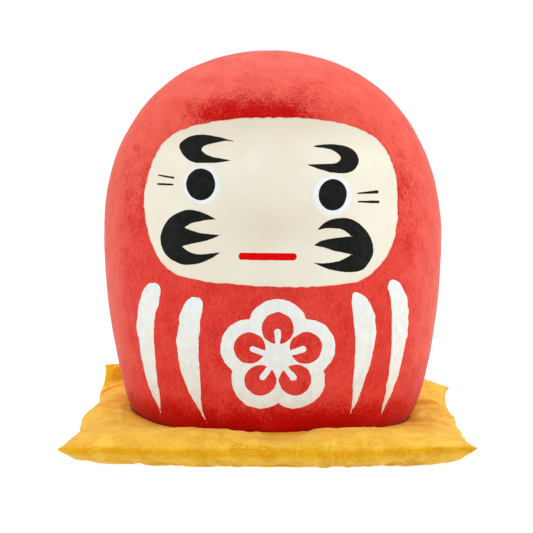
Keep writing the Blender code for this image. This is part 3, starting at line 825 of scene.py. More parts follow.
def pale_sheen_amount(points):
    """Painted sheen on the red paper, as paler red: round the crown, down the flanks and a little behind."""
    x, y, z = points[:, 0], points[:, 1], points[:, 2]
    reach = np.hypot(x, np.maximum(z - WAIST_Z, 0.0))
    rim = smooth((reach - 44.0) / 28.0) * smooth((z - 22.0) / 22.0)
    rear = 0.35 * smooth((y + 10.0) / 40.0)
    return np.maximum(0.68 * rim, rear)


def face_shade_amount(points):
    """Painted shade on the cream: warmer and darker under the nose and under the brow."""
    x, z = points[:, 0], points[:, 2]
    under_nose = np.exp(-((x + 1.0) / 24.0) ** 2 - ((z - 97.0) / 9.0) ** 2)
    return 0.75 * under_nose + 0.7 * smooth((z - 122.0) / 16.0)


def add_field(piece, name, function):
    """Store what a function of place gives at each point of a piece."""
    store(piece, name, function(np.array([vertex.co[:] for vertex in piece.data.vertices]) / MM))


def strand_relief(points):
    """Single long fibres that stand up in the paper."""
    return 0.03 * thin_lines(points, (9.0, 9.0, 22.0), 6, 0.08) * above_seat(points)


def red_rear():
    """Rear paper: its torn front edge lies over the front paper."""
    s = uneven([(turned_in_length(), 0), (FULL_LENGTH, 1.1)])
    phi = np.linspace(REAR_SIDE, 2.0 * math.pi - REAR_SIDE, REAR_COLUMNS)
    params, quads = sheet_grid(s, phi)
    points = body_surface(params[:, 0], params[:, 1])
    front = layered(points, REAR_TEARS) - 0.6 - points[:, 1]
    params, faces, value = clip(params, quads, front)
    lift = LAP_RISE * smooth(-value / 1.2) * (1.0 - smooth((-value - 2.5) / 4.0))
    piece = red_piece("red_paper_rear", params, faces, lift, 0.4)
    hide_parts("red_washi_rear")


def face_paper():
    low_x, high_x, low_z, high_z = outline_box(WINDOW_CURVE, 3.0)
    params, quads = surface_grid(low_z, high_z, low_x, high_x, 0.7)
    points = body_surface(params[:, 0], params[:, 1])
    distance = polygon_distance(points[:, 0], points[:, 2], WINDOW_CURVE) - 2.0
    params, faces, _ = clip(params, quads, distance)
    piece = skin_piece("face_paper", params, faces, np.full(len(params), -FACE_DEPTH), 0.1, CREAM)
    add_field(piece, "face_shade", face_shade_amount)
    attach(piece, "doll")
    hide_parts("face_panel")


def ragged(x, z, amount, seed):
    """Unevenness of a brushed edge."""
    return amount * (flat_noise(x, z, 2.6, seed) + 0.5 * flat_noise(x, z, 1.0, seed + 1))


def face_mark(name, field, box, paint, layer=0.0, step=0.35):
    """Brushed mark on the face paper, where field is below zero."""
    piece = paint_film(name, field, box, paint, layer - FACE_DEPTH, step)
    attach(piece, "doll")


def outline_mark(name, corners, amount, seed):
    """Black mark on the face inside an outline."""
    curve = spline(corners, 6)

    def field(x, z):
        return polygon_distance(x, z, curve) + ragged(x, z, amount, seed)

    face_mark(name, field, outline_box(curve), BLACK)


def doubled(points, corners):
    """The outline with the points at the given places made sharp."""
    rows = []
    for i, point in enumerate(points):
        rows.extend([point, point] if i in corners else [point])
    return rows


BROW_LEFT = doubled([
    (-14.0, 130.1), (-18.5, 131.4), (-23.9, 132.5), (-29.3, 132.8), (-34.3, 131.5), (-37.4, 128.2),
    (-35.0, 123.9), (-30.8, 121.6), (-25.1, 121.4), (-19.9, 121.7), (-15.4, 122.5), (-22.4, 123.7),
    (-26.2, 125.1), (-27.8, 126.8), (-26.6, 128.3), (-23.5, 129.2), (-18.4, 130.2),
], {0, 10})
BROW_RIGHT = doubled([
    (17.2, 128.3), (23.3, 129.0), (28.6, 128.8), (33.4, 127.5), (36.1, 125.1), (37.0, 122.0), (35.6, 118.9),
    (32.9, 117.4), (29.8, 117.2), (24.1, 118.0), (15.2, 120.9), (21.9, 121.1), (27.4, 121.4), (29.6, 123.3),
    (28.1, 125.3), (24.6, 127.1),
], {0, 10})
CHEEK_LEFT = doubled([
    (-31.1, 102.3), (-26.0, 101.0), (-20.8, 98.6), (-26.0, 98.2), (-31.1, 97.0), (-34.8, 95.1), (-30.7, 93.8),
    (-26.6, 92.9), (-19.7, 92.4), (-23.8, 90.5), (-30.5, 88.8), (-35.4, 87.4), (-31.7, 85.1), (-27.6, 84.4),
    (-23.5, 84.9), (-19.3, 85.4), (-22.8, 83.0), (-27.6, 81.0), (-31.7, 80.1), (-35.6, 80.2), (-40.5, 82.2),
    (-43.5, 85.5), (-44.8, 90.2), (-43.8, 94.6), (-40.5, 99.0), (-35.6, 101.7),
], {2, 5, 8, 11, 15})
CHEEK_RIGHT = doubled([
    (19.8, 94.4), (23.3, 97.6), (27.2, 99.0), (31.6, 99.2), (36.0, 97.6), (39.6, 94.4), (42.1, 90.3),
    (43.0, 85.9), (42.1, 82.4), (39.7, 79.0), (37.0, 77.5), (32.6, 77.1), (26.4, 78.1), (22.0, 79.7),
    (18.3, 81.3), (25.1, 81.1), (29.9, 82.2), (33.8, 84.3), (26.4, 86.2), (22.0, 87.6), (18.3, 88.3),
    (22.0, 90.2), (27.2, 91.2), (33.8, 91.7), (30.8, 94.2), (27.2, 95.0), (23.3, 95.1),
], {0, 14, 17, 20, 23})
STRIPES = {
    "stripe_outer_left": doubled([
        (-48.0, 71.8), (-46.0, 71.8), (-44.6, 70.3), (-44.6, 67.6), (-45.3, 63.2), (-47.0, 58.0),
        (-47.5, 52.8), (-47.6, 47.7), (-47.1, 36.3), (-46.5, 29.7), (-45.6, 23.1), (-45.7, 15.7),
        (-46.5, 18.8), (-49.3, 24.8), (-52.1, 32.9), (-53.8, 40.7), (-54.9, 48.5), (-55.4, 53.0),
        (-54.6, 60.4), (-52.6, 67.4), (-49.9, 71.1),
    ], {11}),
    "stripe_inner_left": doubled([
        (-29.9, 67.2), (-26.5, 64.9), (-27.5, 57.7), (-27.7, 52.7), (-28.3, 49.2), (-28.4, 42.4),
        (-28.0, 35.5), (-27.9, 29.4), (-27.8, 23.7), (-26.6, 16.7), (-24.6, 12.5), (-28.9, 20.0),
        (-32.3, 26.0), (-34.8, 31.9), (-36.4, 37.5), (-37.2, 42.6), (-37.5, 48.6), (-36.5, 55.5),
        (-36.0, 59.8), (-33.4, 65.1),
    ], {10}),
    "stripe_inner_right": doubled([
        (35.2, 69.0), (39.9, 66.4), (43.0, 60.7), (44.1, 53.5), (43.1, 45.4), (42.1, 40.4), (39.2, 31.3),
        (36.3, 23.2), (32.8, 16.2), (34.2, 22.3), (34.7, 32.7), (35.6, 45.0), (35.1, 55.2), (34.0, 65.6),
    ], {8}),
    "stripe_outer_right": doubled([
        (50.8, 73.3), (53.4, 72.3), (55.2, 69.9), (57.4, 63.5), (57.8, 54.2), (57.0, 47.0), (56.0, 42.0),
        (54.8, 35.9), (51.2, 25.7), (46.4, 15.0), (47.9, 22.7), (49.6, 34.2), (50.6, 44.6), (50.8, 55.0),
        (50.4, 63.8), (49.3, 69.6), (49.4, 72.0),
    ], {9}),
}
EYES = {
    "left": ((-27.8, 112.7), (6.1, 6.4), (-27.4, 112.5), (8.9, 8.7)),
    "right": ((26.3, 108.6), (5.7, 6.35), (26.35, 108.45), (8.9, 9.2)),
}
WRINKLES = {
    "left": (((-46.0, 116.1), (-39.6, 115.2), 0.28, 0.45), ((-46.2, 112.5), (-39.7, 112.4), 0.45, 0.30)),
    "right": (((36.7, 109.0), (44.6, 109.4), 0.25, 0.68), ((36.9, 105.6), (45.1, 105.3), 0.35, 0.55)),
}
MOUTH = ((-10.4, 84.0), (10.3, 83.8), 1.45, 1.45)
DRY_LENGTH = 13.0              # length of a stripe over which the brush runs dry
BLOSSOM_CENTRE = (4.0, 43.0)
PETALS = 5
PETAL_OUT = 12.0               # each petal is a ring this far out, of this radius and half width
PETAL_R = 9.2
BRUSH_HALF = 2.7
HEART_R = 3.3
FILAMENT_START = 3.0
FILAMENT_END = 10.5
FILAMENT_HALVES = (0.9, 1.35)


def oval(x, z, centre, half):
    """Rough distance to an oval, right in size near its edge."""
    reach = np.hypot((x - centre[0]) / half[0], (z - centre[1]) / half[1])
    return (reach - 1.0) * 0.5 * (half[0] + half[1])


def stroke(x, z, start, end, half, half_end):
    """Distance to a straight brush stroke with round ends whose width changes along it."""
    dx, dz = end[0] - start[0], end[1] - start[1]
    t = np.clip(((x - start[0]) * dx + (z - start[1]) * dz) / (dx * dx + dz * dz), 0.0, 1.0)
    return np.hypot(x - start[0] - t * dx, z - start[1] - t * dz) - half - (half_end - half) * t


def blossom(x, z):
    """Brushed outline of a five-petalled blossom, with a heart and a filament in each petal."""
    centre_x, centre_z = BLOSSOM_CENTRE
    edge = np.full(x.shape, 1e9)
    inner = np.hypot(x - centre_x, z - centre_z) - HEART_R
    for k in range(PETALS):
        angle = math.radians(90.0 + 360.0 / PETALS * k)
        c, s = math.cos(angle), math.sin(angle)
        petal = np.hypot(x - centre_x - PETAL_OUT * c, z - centre_z - PETAL_OUT * s) - PETAL_R
        edge = np.minimum(edge, petal)
        start = (centre_x + FILAMENT_START * c, centre_z + FILAMENT_START * s)
        end = (centre_x + FILAMENT_END * c, centre_z + FILAMENT_END * s)
        inner = np.minimum(inner, stroke(x, z, start, end, *FILAMENT_HALVES))
    return np.minimum(np.abs(edge) - BRUSH_HALF, inner)


def face_marks():
    outline_mark("brow_left", BROW_LEFT, 0.10, 31)
    outline_mark("brow_right", BROW_RIGHT, 0.10, 33)
    outline_mark("cheek_left", CHEEK_LEFT, 0.12, 35)
    outline_mark("cheek_right", CHEEK_RIGHT, 0.12, 37)
    for side, (centre, half, halo_centre, halo_half) in EYES.items():
        for part, middle, size, paint, layer, seed in (
            ("halo", halo_centre, halo_half, HALO, 0.0, 41), ("pupil", centre, half, BLACK, PAINT, 43),
        ):
            def field(x, z, middle=middle, size=size, seed=seed):
                return oval(x, z, middle, size) + ragged(x, z, 0.12, seed)

            ends = np.array([np.subtract(middle, size), np.add(middle, size)])
            face_mark(f"{part}_{side}", field, outline_box(ends, 1.0), paint, layer)
    for side, strokes in WRINKLES.items():
        def field(x, z, strokes=strokes):
            lines = [stroke(x, z, *line) for line in strokes]
            return np.minimum(*lines) + ragged(x, z, 0.06, 45)

        ends = np.array([end for line in strokes for end in line[:2]])
        face_mark(f"wrinkles_{side}", field, outline_box(ends), BLACK, step=0.22)

    def mouth(x, z):
        return stroke(x, z, *MOUTH) + ragged(x, z, 0.10, 47)

    face_mark("mouth", mouth, (-13.5, 13.5, 81.0, 87.0), SCARLET)


def white_mark(name, field, box):
    """White mark brushed on the front red paper, where field is below zero."""
    piece = paint_film(name, field, box, WHITE, thickness=WHITE_PAINT)
    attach(piece, "doll")


def body_marks():
    for number, (name, corners) in enumerate(STRIPES.items()):
        curve = spline(corners, 6)
        tip = curve[:, 1].min()

        def field(x, z, curve=curve, tip=tip, seed=51 + 2 * number):
            """The brush runs dry towards the tip and leaves gaps along its hairs."""
            dry = smooth((tip + DRY_LENGTH - z) / DRY_LENGTH)
            hairs = noise(np.stack([x, 0.0 * x, z], axis=-1), (0.9, 1.0, 5.0), seed + 60)
            gaps = 1.1 * (hairs - 1.15 + 1.15 * dry)
            edge = polygon_distance(x, z, curve) + ragged(x, z, 0.22, seed)
            return np.maximum(edge, gaps)

        white_mark(name, field, outline_box(curve))

    def mark(x, z):
        return blossom(x, z) + ragged(x, z, 0.28, 71)

    reach = PETAL_OUT + PETAL_R + BRUSH_HALF + 1.0
    x, z = BLOSSOM_CENTRE
    white_mark("blossom", mark, (x - reach, x + reach, z - reach, z + reach))


red_front()
red_rear()
face_paper()
face_marks()
body_marks()

# ---------------------------------------------------------------- cushion

GOLD = gold_paper("gold_washi")

# How far each side's edge stands from the middle, at places along it from one corner to the next.
CORNER_AT = 82.0
EDGES = {
    "front": [
        (-82.0, 83.4), (-76.0, 82.2), (-69.0, 80.8), (-60.0, 80.4), (-30.0, 80.9), (0.0, 81.3), (30.0, 81.2),
        (60.0, 80.4), (69.0, 80.8), (76.0, 82.2), (82.0, 83.4),
    ],
    "right": [
        (-82.0, 83.4), (-76.0, 83.0), (-70.0, 82.2), (-63.0, 81.8), (-50.0, 82.4), (-30.0, 82.2),
        (-17.0, 81.6), (4.0, 82.1), (27.0, 81.6), (51.0, 81.2), (66.0, 81.6), (74.0, 82.6), (82.0, 84.0),
    ],
    "rear": [
        (-82.0, 83.4), (-74.0, 84.2), (-60.0, 83.8), (-30.0, 82.0), (0.0, 81.3), (60.0, 81.2), (72.0, 82.2),
        (82.0, 84.0),
    ],
    "left": [
        (-82.0, 83.4), (-76.0, 83.4), (-70.0, 83.2), (-62.0, 82.8), (-52.0, 82.5), (-42.0, 82.2),
        (-32.0, 82.2), (-22.0, 83.5), (-11.0, 84.8), (0.0, 84.3), (12.0, 83.4), (24.0, 82.8), (36.0, 82.8),
        (48.0, 83.6), (60.0, 84.8), (68.0, 84.6), (76.0, 83.0), (82.0, 82.0),
    ],
}
EDGE_CURVES = {side: spline(points, 6, closed=False) for side, points in EDGES.items()}


def edge_distance(phi):
    """Distance from the middle to the outline in the direction phi."""
    c, s = np.cos(phi), np.sin(phi)
    reach = np.zeros(phi.shape)
    for side, facing, across in (("front", c, s), ("right", s, -c), ("rear", -c, s), ("left", -s, -c)):
        here = facing >= np.maximum(np.abs(across), 0.7) - 1e-9
        curve = EDGE_CURVES[side]
        place = CORNER_AT * across[here] / facing[here]
        reach[here] = np.interp(place, curve[:, 0], curve[:, 1]) / facing[here]
    return reach


def cornerness(phi):
    """0 at the middle of a side and 1 at a corner."""
    c, s = np.abs(np.cos(phi)), np.abs(np.sin(phi))
    return (np.minimum(c, s) / np.maximum(c, s)) ** 2


def front_right(phi):
    """How close a direction is to the front right corner."""
    return np.exp(-((bearing(phi) - 45.0) / 11.0) ** 2)


def seam_height(phi):
    """Height of the seam: it rises to the corners, most at the front right one."""
    level = SEAM_Z_MIDDLE + (SEAM_Z_TIP - SEAM_Z_MIDDLE) * cornerness(phi)
    return level + SEAM_Z_RIGHT * front_right(phi)


def contact_height(phi):
    """How high the cushion climbs the doll: a little less at the front left and more at the front right."""
    turn = bearing(phi)
    wave = 1.5 * np.exp(-((turn - 30.0) / 22.0) ** 2) - 1.9 * np.exp(-((turn + 47.0) / 20.0) ** 2)
    return CONTACT_Z - CONTACT_TILT_X * np.sin(phi) - CONTACT_TILT_Y * np.cos(phi) + wave


def curl(x):
    """How far the rear edge is turned up: 1 at the left corner, 0 at the right."""
    return 1.0 - smooth((x + 66.0) / 42.0)


def fold_back(points):
    """The rear edge turned up behind the fold line, most at the left corner."""
    x, y, z = points[..., 0], points[..., 1], points[..., 2]
    amount = curl(x)
    near = smooth((y - FOLD_Y + FOLD_RUN_IN) / FOLD_RUN_IN)
    middle = FOLD_Z + 2.2 * amount * near
    height = (z - FOLD_Z) * (1.0 - 0.3 * amount * near)
    s = y - FOLD_Y
    full = np.maximum(FOLD_TURN * amount, 1e-5)
    bent = np.clip(s, 0.0, FOLD_LENGTH)
    angle = full * bent / FOLD_LENGTH
    out = FOLD_LENGTH / full * np.sin(angle) + (s - bent) * np.cos(full)
    up = FOLD_LENGTH / full * (1.0 - np.cos(angle)) + (s - bent) * np.sin(full)
    folded = s > 0.0
    new_y = np.where(folded, FOLD_Y + out - height * np.sin(angle), y)
    new_z = np.where(folded, middle + up + height * np.cos(angle), middle + height)
    return np.stack([x, new_y, new_z], axis=-1)


def rear_lift(points):
    """The rear edge stands a little high to the right of the doll and falls to the corner."""
    x, y = points[..., 0], points[..., 1]
    corner = 1.0 - 0.8 * smooth((x - 68.0) / 18.0)
    return REAR_RISE * smooth((y - 52.0) / 26.0) * smooth((x - 20.0) / 35.0) * corner


def cushion_top(t, phi):
    """Top of the cushion: t is 0 in the middle of the seat, 1 where it leaves the doll, 2 at the seam."""
    contact = length_at_height(contact_height(phi))
    angle = np.arctan2(np.sin(phi), np.cos(phi) / DEPTH_RATIO)
    seat, normal = body_frame(np.minimum(t, 1.0) * contact, angle)
    start = seat + SEAT_GAP * normal
    u = np.clip(t - 1.0, 0.0, 1.0)
    reach = edge_distance(phi)
    end = np.stack([reach * np.sin(phi), -reach * np.cos(phi), seam_height(phi)], axis=-1)
    power = 3.2 - 1.0 * cornerness(phi)
    gentle = 0.5 + 0.32 * smooth((-np.sin(phi) - 0.7) / 0.25)
    fall = np.maximum(0.0, 1.0 - u ** power) ** gentle
    rise = (start[:, 2] - end[:, 2] + 0.9 * np.sin(math.pi * u)) * fall
    place = start + (end - start) * u[:, None]
    place[:, 2] = np.where(t > 1.0, end[:, 2] + rise + rear_lift(place), start[:, 2])
    return np.where((t > 1.0)[:, None], fold_back(place), place)


def cushion_underside(t, phi):
    """Underside: flat on the table to t = 1 and rounded up to the seam at t = 2."""
    reach = edge_distance(phi)
    rounding = UNDER_ROUND + UNDER_ROUND_CORNER * cornerness(phi) ** 1.4
    v = np.clip(t - 1.0, 0.0, 1.0)
    distance = np.where(t <= 1.0, t * (reach - rounding), reach - rounding * (1.0 - v))
    wedge = UNDER_WEDGE * cornerness(phi) ** 4
    bowl = 1.0 - np.sqrt(np.maximum(0.0, 1.0 - v * v))
    height = seam_height(phi) * ((1.0 - wedge) * bowl + wedge * v ** 1.5)
    place = np.stack([distance * np.sin(phi), -distance * np.cos(phi), height], axis=-1)
    place[:, 2] += rear_lift(place)
    return fold_back(place)


def cushion_angles(per_quarter):
    """Angles round the cushion, closer together at the corners, which lie on columns."""
    w = np.linspace(-1.0, 1.0, per_quarter + 1)[:-1]
    quarter = 45.0 + 45.0 * (0.72 * w + 0.28 * w ** 3)
    return np.radians(np.concatenate([quarter + 90.0 * k for k in range(4)]))


def grid_normals(points):
    """Unit normals of a grid that is closed along its second axis."""
    along = np.gradient(points, axis=0)
    across = np.roll(points, -1, axis=1) - np.roll(points, 1, axis=1)
    normal = np.cross(along, across)
    return normal / np.maximum(np.linalg.norm(normal, axis=-1, keepdims=True), 1e-9)


DENTS = ((0.30, 17.0, 81), (0.20, 8.0, 82), (0.10, 4.2, 88))   # height, size, seed
CREASE_HEIGHT = 0.22


def crumple(points):
    """Dents of the kneaded paper, and how high its crease lines stand (0 to 1)."""
    x, y, z = points[..., 0], points[..., 1], points[..., 2]
    dents = layered(points, DENTS)
    turned = np.stack([0.78 * x - 0.62 * y, 0.62 * x + 0.78 * y + 0.5 * z, 0.9 * z - 0.3 * x], axis=-1)
    sharp = thin_lines(turned, (10.0, 13.0, 11.0), 83, 0.13)
    minor = thin_lines(turned, (5.5, 7.5, 6.5), 84, 0.17)
    cross = thin_lines(points, (16.0, 5.0, 6.0), 85, 0.20)
    where = smooth(0.5 + 0.9 * noise(points, 14.0, 86))
    right = smooth((x - 60.0) / 12.0) * smooth((y + 80.0) / 20.0)
    lines = sharp * where + 0.5 * minor * (1.0 - where) + 0.7 * cross * right
    return dents + CREASE_HEIGHT * lines, lines


PLEATS = [
    # start, end, half width, depth (below zero is a ridge), painted shade in the fold
    ((57.0, 21.0), (79.0, 26.0), 2.6, 3.0, 2.4),
    ((55.0, -12.0), (80.0, 2.6), 1.9, 2.5, 2.2),
    ((60.0, 35.0), (76.0, 42.0), 1.5, 0.6, 0.15),
    ((62.0, 8.0), (78.0, 12.0), 1.4, 0.5, 0.15),
    ((58.0, -27.0), (76.0, -20.0), 1.6, 0.6, 0.25),
    ((-84.0, -12.0), (-56.0, -31.0), 1.7, -0.9, -0.6),
    ((-86.0, 65.0), (-62.0, 54.0), 1.8, 2.2, 1.8),
    ((-82.0, 70.0), (-64.0, 79.0), 1.3, -0.9, -0.6),
    ((-80.0, 55.0), (-62.0, 40.0), 1.8, 0.6, 0.35),
    ((-76.0, 30.0), (-60.0, 8.0), 2.2, 0.5, 0.35),
]


def pleats(points):
    """Folds pressed into the top, each a dip with a lip behind it, and the painted shade of each point in a
    fold, with a painted red reflection beside the doll.
    """
    x, y, z = points[..., 0], points[..., 1], points[..., 2]
    height = np.zeros(x.shape)
    fold_shade_share = np.zeros(x.shape)
    for (ax, ay), (bx, by), half, depth, shade_tint in PLEATS:
        dx, dy = bx - ax, by - ay
        reach = math.hypot(dx, dy)
        t = ((x - ax) * dx + (y - ay) * dy) / reach ** 2
        off = ((x - ax) * dy - (y - ay) * dx) / reach + 0.8 * noise(points, 9.0, 91)
        fade = smooth(t / 0.2) * smooth((1.0 - t) / 0.3)
        width = half * (0.35 + 0.65 * smooth((1.0 - t) / 0.7))
        dip = fade * np.exp(-(off / width) ** 2)
        lip = fade * np.exp(-((off + 1.9 * width) / width) ** 2)
        height = height - depth * (dip - 0.35 * lip)
        fold_shade_share = fold_shade_share + shade_tint * (dip - 0.3 * lip)
    # painted reflection: red from the doll on the cloth to its left
    beside = np.exp(-((x + 68.0) / 9.0) ** 2 - ((y - 18.0) / 30.0) ** 2) * smooth((-x - 58.0) / 6.0)
    above = smooth((z - 6.0) / 2.0)
    return height * above, (fold_shade_share + 0.35 * beside) * above


def rim_rows(count):
    """Stations from just past 1 to 2, closer together towards 2."""
    return 1.0 + np.sin(0.5 * math.pi * np.linspace(0.0, 1.0, count + 1)[1:])


SIM_QUARTER = 30               # columns of the cloth in each quarter, a sixth of the finished ones
FINE_QUARTER = 180
SIM_FRAMES = 20
SIM_CAP = 1.6                  # furthest that a point may move
CLOTH = {
    "quality": 6,
    "mass": 0.1,
    "tension_stiffness": 12.0,
    "compression_stiffness": 12.0,
    "shear_stiffness": 4.0,
    "bending_stiffness": 0.05,
    "use_pressure": True,
    "uniform_pressure_force": 4.0,
    "shrink_min": -0.03,       # the cloth is larger than the space it fills
    "vertex_group_mass": "held",
}


def blown_up(start, quads, hold, count):
    """Where the pressure inside takes the points of a cloth; hold has the grip on each of its rows."""
    cloth = add_mesh("cushion_cloth", start, quads, GOLD)
    group = cloth.vertex_groups.new(name="held")
    for row, weight in enumerate(hold):
        if weight > 0.0:
            group.add(range(row * count, (row + 1) * count), float(weight), "REPLACE")
    modifier = cloth.modifiers.new("cloth", "CLOTH")
    for key, value in CLOTH.items():
        setattr(modifier.settings, key, value)
    modifier.settings.effector_weights.gravity = 0.0
    modifier.collision_settings.use_collision = False
    modifier.point_cache.frame_start = 1
    modifier.point_cache.frame_end = SIM_FRAMES
    for number in range(1, SIM_FRAMES + 1):
        bpy.context.scene.frame_set(number)
    done = cloth.evaluated_get(bpy.context.evaluated_depsgraph_get()).to_mesh()
    end = np.array([vertex.co[:] for vertex in done.vertices]) / MM
    bpy.data.objects.remove(cloth, do_unlink=True)
    bpy.context.scene.frame_set(1)
    return end


def swollen():
    """Cloth simulation of the covers round the wadding: how far each point of a coarse grid moves.

    The seat under the doll and the part that lies on the table are held. Returns the stations and shifts
    of the top and of the underside.
    """
    angles = cushion_angles(SIM_QUARTER)
    top_t = np.concatenate([[0.6, 0.8, 0.92, 1.0], rim_rows(16)])
    under_t = np.concatenate([[0.6, 0.8, 1.0], np.linspace(1.0, 2.0, 7)[1:]])
    rows = []
    for shape, stations in ((cushion_top, top_t), (cushion_underside, under_t[::-1][1:])):
        t, phi = [grid.ravel() for grid in np.meshgrid(stations, angles, indexing="ij")]
        rows.append(shape(t, phi))
    start = np.vstack(rows)
    count = len(angles)
    quads = [tuple(reversed(quad)) for quad in grid_quads(len(start) // count, count, wrap=True)]
    stations = np.concatenate([top_t, under_t[::-1][1:]])
    on_top = np.arange(len(stations)) < len(top_t)
    hold = np.where(on_top, 1.0 - smooth((stations - 1.0) / 0.14), 1.0 - smooth((stations - 1.0) / 0.3))
    end = blown_up(start, quads, hold, count)
    shift = end - start
    far = np.linalg.norm(shift, axis=1, keepdims=True)
    shift = shift * SIM_CAP / np.maximum(far, 1e-9) * np.tanh(far / SIM_CAP)
    near_seam = smooth((stations - 1.55) / 0.4)[:, None]
    calm = near_seam * (0.55 + 0.35 * cornerness(angles)[None, :] ** 2)
    shift = shift.reshape(len(stations), count, 3) * (1.0 - calm)[..., None]
    seam = len(top_t) - 1
    return {"top": (top_t, shift[:seam + 1]), "underside": (under_t, shift[seam:][::-1])}


def fine_shift(coarse, stations, columns):
    """The simulated shift at the finished grid's stations and columns."""
    coarse_t, shift = coarse
    held = np.zeros((1,) + shift.shape[1:])
    coarse_t = np.concatenate([[0.0], coarse_t])
    shift = np.concatenate([held, shift])
    index = np.interp(stations, coarse_t, np.arange(len(coarse_t)))
    shift = cubic_rows(shift, index, False)
    place = np.arange(columns) * (shift.shape[1] / columns)
    return cubic_rows(shift.swapaxes(0, 1), place, True).swapaxes(0, 1)


def cubic_rows(values, index, wrap):
    """Smooth reading of rows at fractional places."""
    count = len(values)
    low = np.floor(index).astype(int)
    rows = [low + k for k in (-1, 0, 1, 2)]
    four = [values[row % count if wrap else np.clip(row, 0, count - 1)] for row in rows]
    return cubic(four, (index - low)[:, None, None])


def cover_grid(shape, stations, facing, loose, coarse):
    """Finished points of one cover with their normals, how pale each point is (scuffed crease lines, painted
    highlight and painted bounce light) and its painted shade in folds, along creases and in the seam's
    groove.
    """
    angles = cushion_angles(FINE_QUARTER)
    t, phi = [grid.ravel() for grid in np.meshgrid(stations, angles, indexing="ij")]
    grid = shape(t, phi).reshape(len(stations), len(angles), 3)
    amount = loose(stations)[:, None]
    to_seam = np.linalg.norm(grid - grid[-1:], axis=-1)
    if coarse is not None:
        grid = grid + fine_shift(coarse, stations, len(angles))
    normals = grid_normals(grid) * facing
    band = np.exp(-(to_seam / SEAM_HALF) ** 2) * (1.0 - cornerness(angles) ** 6)
    inwards = np.stack([-np.sin(angles), np.cos(angles), 0.0 * angles], axis=-1)
    dents, lines = crumple(grid)
    pressed, fold = pleats(grid)
    groove = inwards * (SEAM_GROOVE * band)[..., None]
    grid = grid + normals * ((dents + pressed) * amount)[..., None] + groove
    grid[..., 2] = np.maximum(grid[..., 2], 0.0)
    # painted bounce light from the floor: paler low down where the cover does not face up
    floor_bounce = (0.2 + 0.8 * smooth((8.0 - grid[..., 2]) / 5.0)) * smooth((0.5 - normals[..., 2]) / 0.5)
    # paler on the crease lines, and painted highlight on faces that turn up
    rub_and_light = lines * 0.25 + 0.45 * smooth((normals[..., 2] - 0.35) / 0.5)
    if facing < 0.0:
        rub_and_light = rub_and_light + 0.42 * floor_bounce
    # painted shade: deeper orange in the folds, along the crease lines and along the seam's groove, with the
    # painted red reflection beside the doll
    shade = fold + 0.10 * lines + 0.32 * band * (0.75 + 0.5 * noise(grid, 5.0, 95))
    return grid, normals, rub_and_light * amount, shade * np.maximum(amount, band)


def cover_piece(name, made, facing, node_name):
    """Cover made of a finished grid, for the CAD node of that name."""
    grid, normals, rub_and_light, shade = made
    points, normals = grid.reshape(-1, 3), normals.reshape(-1, 3)
    quads = grid_quads(grid.shape[0], grid.shape[1], wrap=True)
    if facing > 0.0:
        quads = [tuple(reversed(quad)) for quad in quads]
    points, quads = hem(points, normals, quads, COVER)
    piece = add_mesh(name, points, quads, GOLD, sharp=70.0)
    # painted highlight and bounce light go to the pale attribute, painted shade to the fold attribute
    store(piece, "pale_and_lit", rub_and_light)
    store(piece, "fold", shade)
    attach(piece, "cushion")
    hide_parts(node_name)


WADDING_DEPTH = 1.3            # below the covers
WADDING_STEP = 4               # takes every fourth row and column of them
WADDING_REACH = 0.3            # share of the way to the seam
WADDING_TUFTS = 0.25           # half of the unevenness of its surface


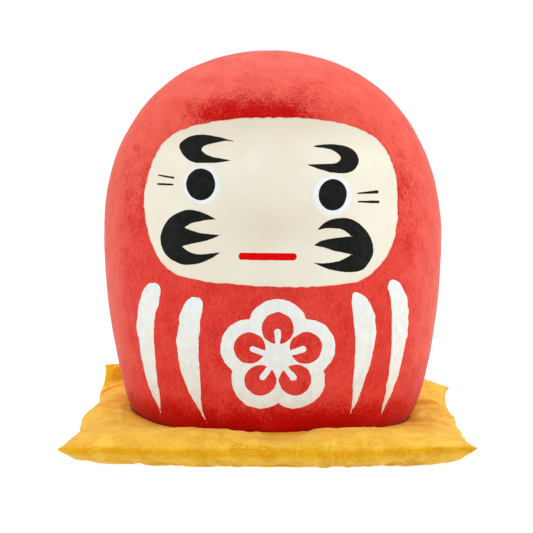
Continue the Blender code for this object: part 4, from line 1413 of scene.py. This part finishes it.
def wadding(top, underside):
    """Loose cotton inside the covers, following them from a little below."""
    layers = []
    for (grid, normals, _, _), stations in ((top, TOP_ROWS), (underside, UNDERSIDE_ROWS)):
        fill = 1.0 + WADDING_REACH
        rows = [row for row in range(1, len(stations), WADDING_STEP) if stations[row] < fill]
        picked = grid[rows][:, ::WADDING_STEP]
        outward = normals[rows][:, ::WADDING_STEP]
        uneven_depth = WADDING_TUFTS * (1.0 + noise(picked, 3.0, 97))
        layers.append(picked - outward * (WADDING_DEPTH + uneven_depth)[..., None])
    upper, lower = layers
    points = np.vstack([upper.reshape(-1, 3), lower[::-1].reshape(-1, 3)])
    points[:, 2] = np.maximum(points[:, 2], WADDING_DEPTH)
    columns = upper.shape[1]
    rows = len(points) // columns
    quads = [tuple(reversed(quad)) for quad in grid_quads(rows, columns, wrap=True)]
    first = tuple(range(columns))
    last = tuple(range(len(points) - 1, len(points) - 1 - columns, -1))
    piece = add_mesh("wadding", points, quads + [first, last], COTTON)
    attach(piece, "cushion")
    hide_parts("cushion_filling")


def top_looseness(t):
    return smooth((t - 1.0) / 0.22) * smooth((2.0 - t) / 0.05)


def underside_looseness(t):
    return smooth((t - 1.25) / 0.4) * smooth((2.0 - t) / 0.05)


def station_rows(inner, outer):
    """Stations of a cover's rows: even to 1, then closer together towards the seam at 2."""
    return np.concatenate([np.linspace(0.0, 1.0, inner + 1), rim_rows(outer)])


TOP_ROWS = station_rows(24, 64)
UNDERSIDE_ROWS = station_rows(14, 40)
COTTON = raw_paper("cotton_wadding", (0.72, 0.70, 0.64, 1.0), (0.88, 0.86, 0.81, 1.0), 2.0, 0.5)


def cushion():
    """Both covers and the wadding between them."""
    moved = swollen() or {"top": None, "underside": None}
    top = cover_grid(cushion_top, TOP_ROWS, 1.0, top_looseness, moved["top"])
    underside = cover_grid(cushion_underside, UNDERSIDE_ROWS, -1.0, underside_looseness, moved["underside"])
    cover_piece("cushion_top", top, 1.0, "cushion_cover_top")
    cover_piece("cushion_underside", underside, -1.0, "cushion_cover_bottom")
    wadding(top, underside)


cushion()

# ---------------------------------------------------------------- inner parts keep their shape

SHELL = ((0.42, 0.37, 0.29, 1.0), (0.58, 0.53, 0.44, 1.0), 6.0, 0.15)
INNER = {
    # dark and light colour, size of the clouds, depth of the bump
    "front_shell": SHELL,
    "rear_shell": SHELL,
    "seam_band": ((0.55, 0.50, 0.40, 1.0), (0.70, 0.65, 0.55, 1.0), 3.0, 0.08),
    "base_cup": ((0.34, 0.30, 0.25, 1.0), (0.50, 0.45, 0.38, 1.0), 4.0, 0.15),
    "clay_weight": ((0.22, 0.13, 0.085, 1.0), (0.36, 0.24, 0.17, 1.0), 7.0, 0.35),
    "base_paper": ((0.66, 0.61, 0.50, 1.0), (0.80, 0.76, 0.66, 1.0), 3.0, 0.06),
}
for name, (dark, light, size, depth) in INNER.items():
    finish = raw_paper(name + "_finish", dark, light, size, depth)
    bpy.data.objects[name].material_slots[0].material = finish
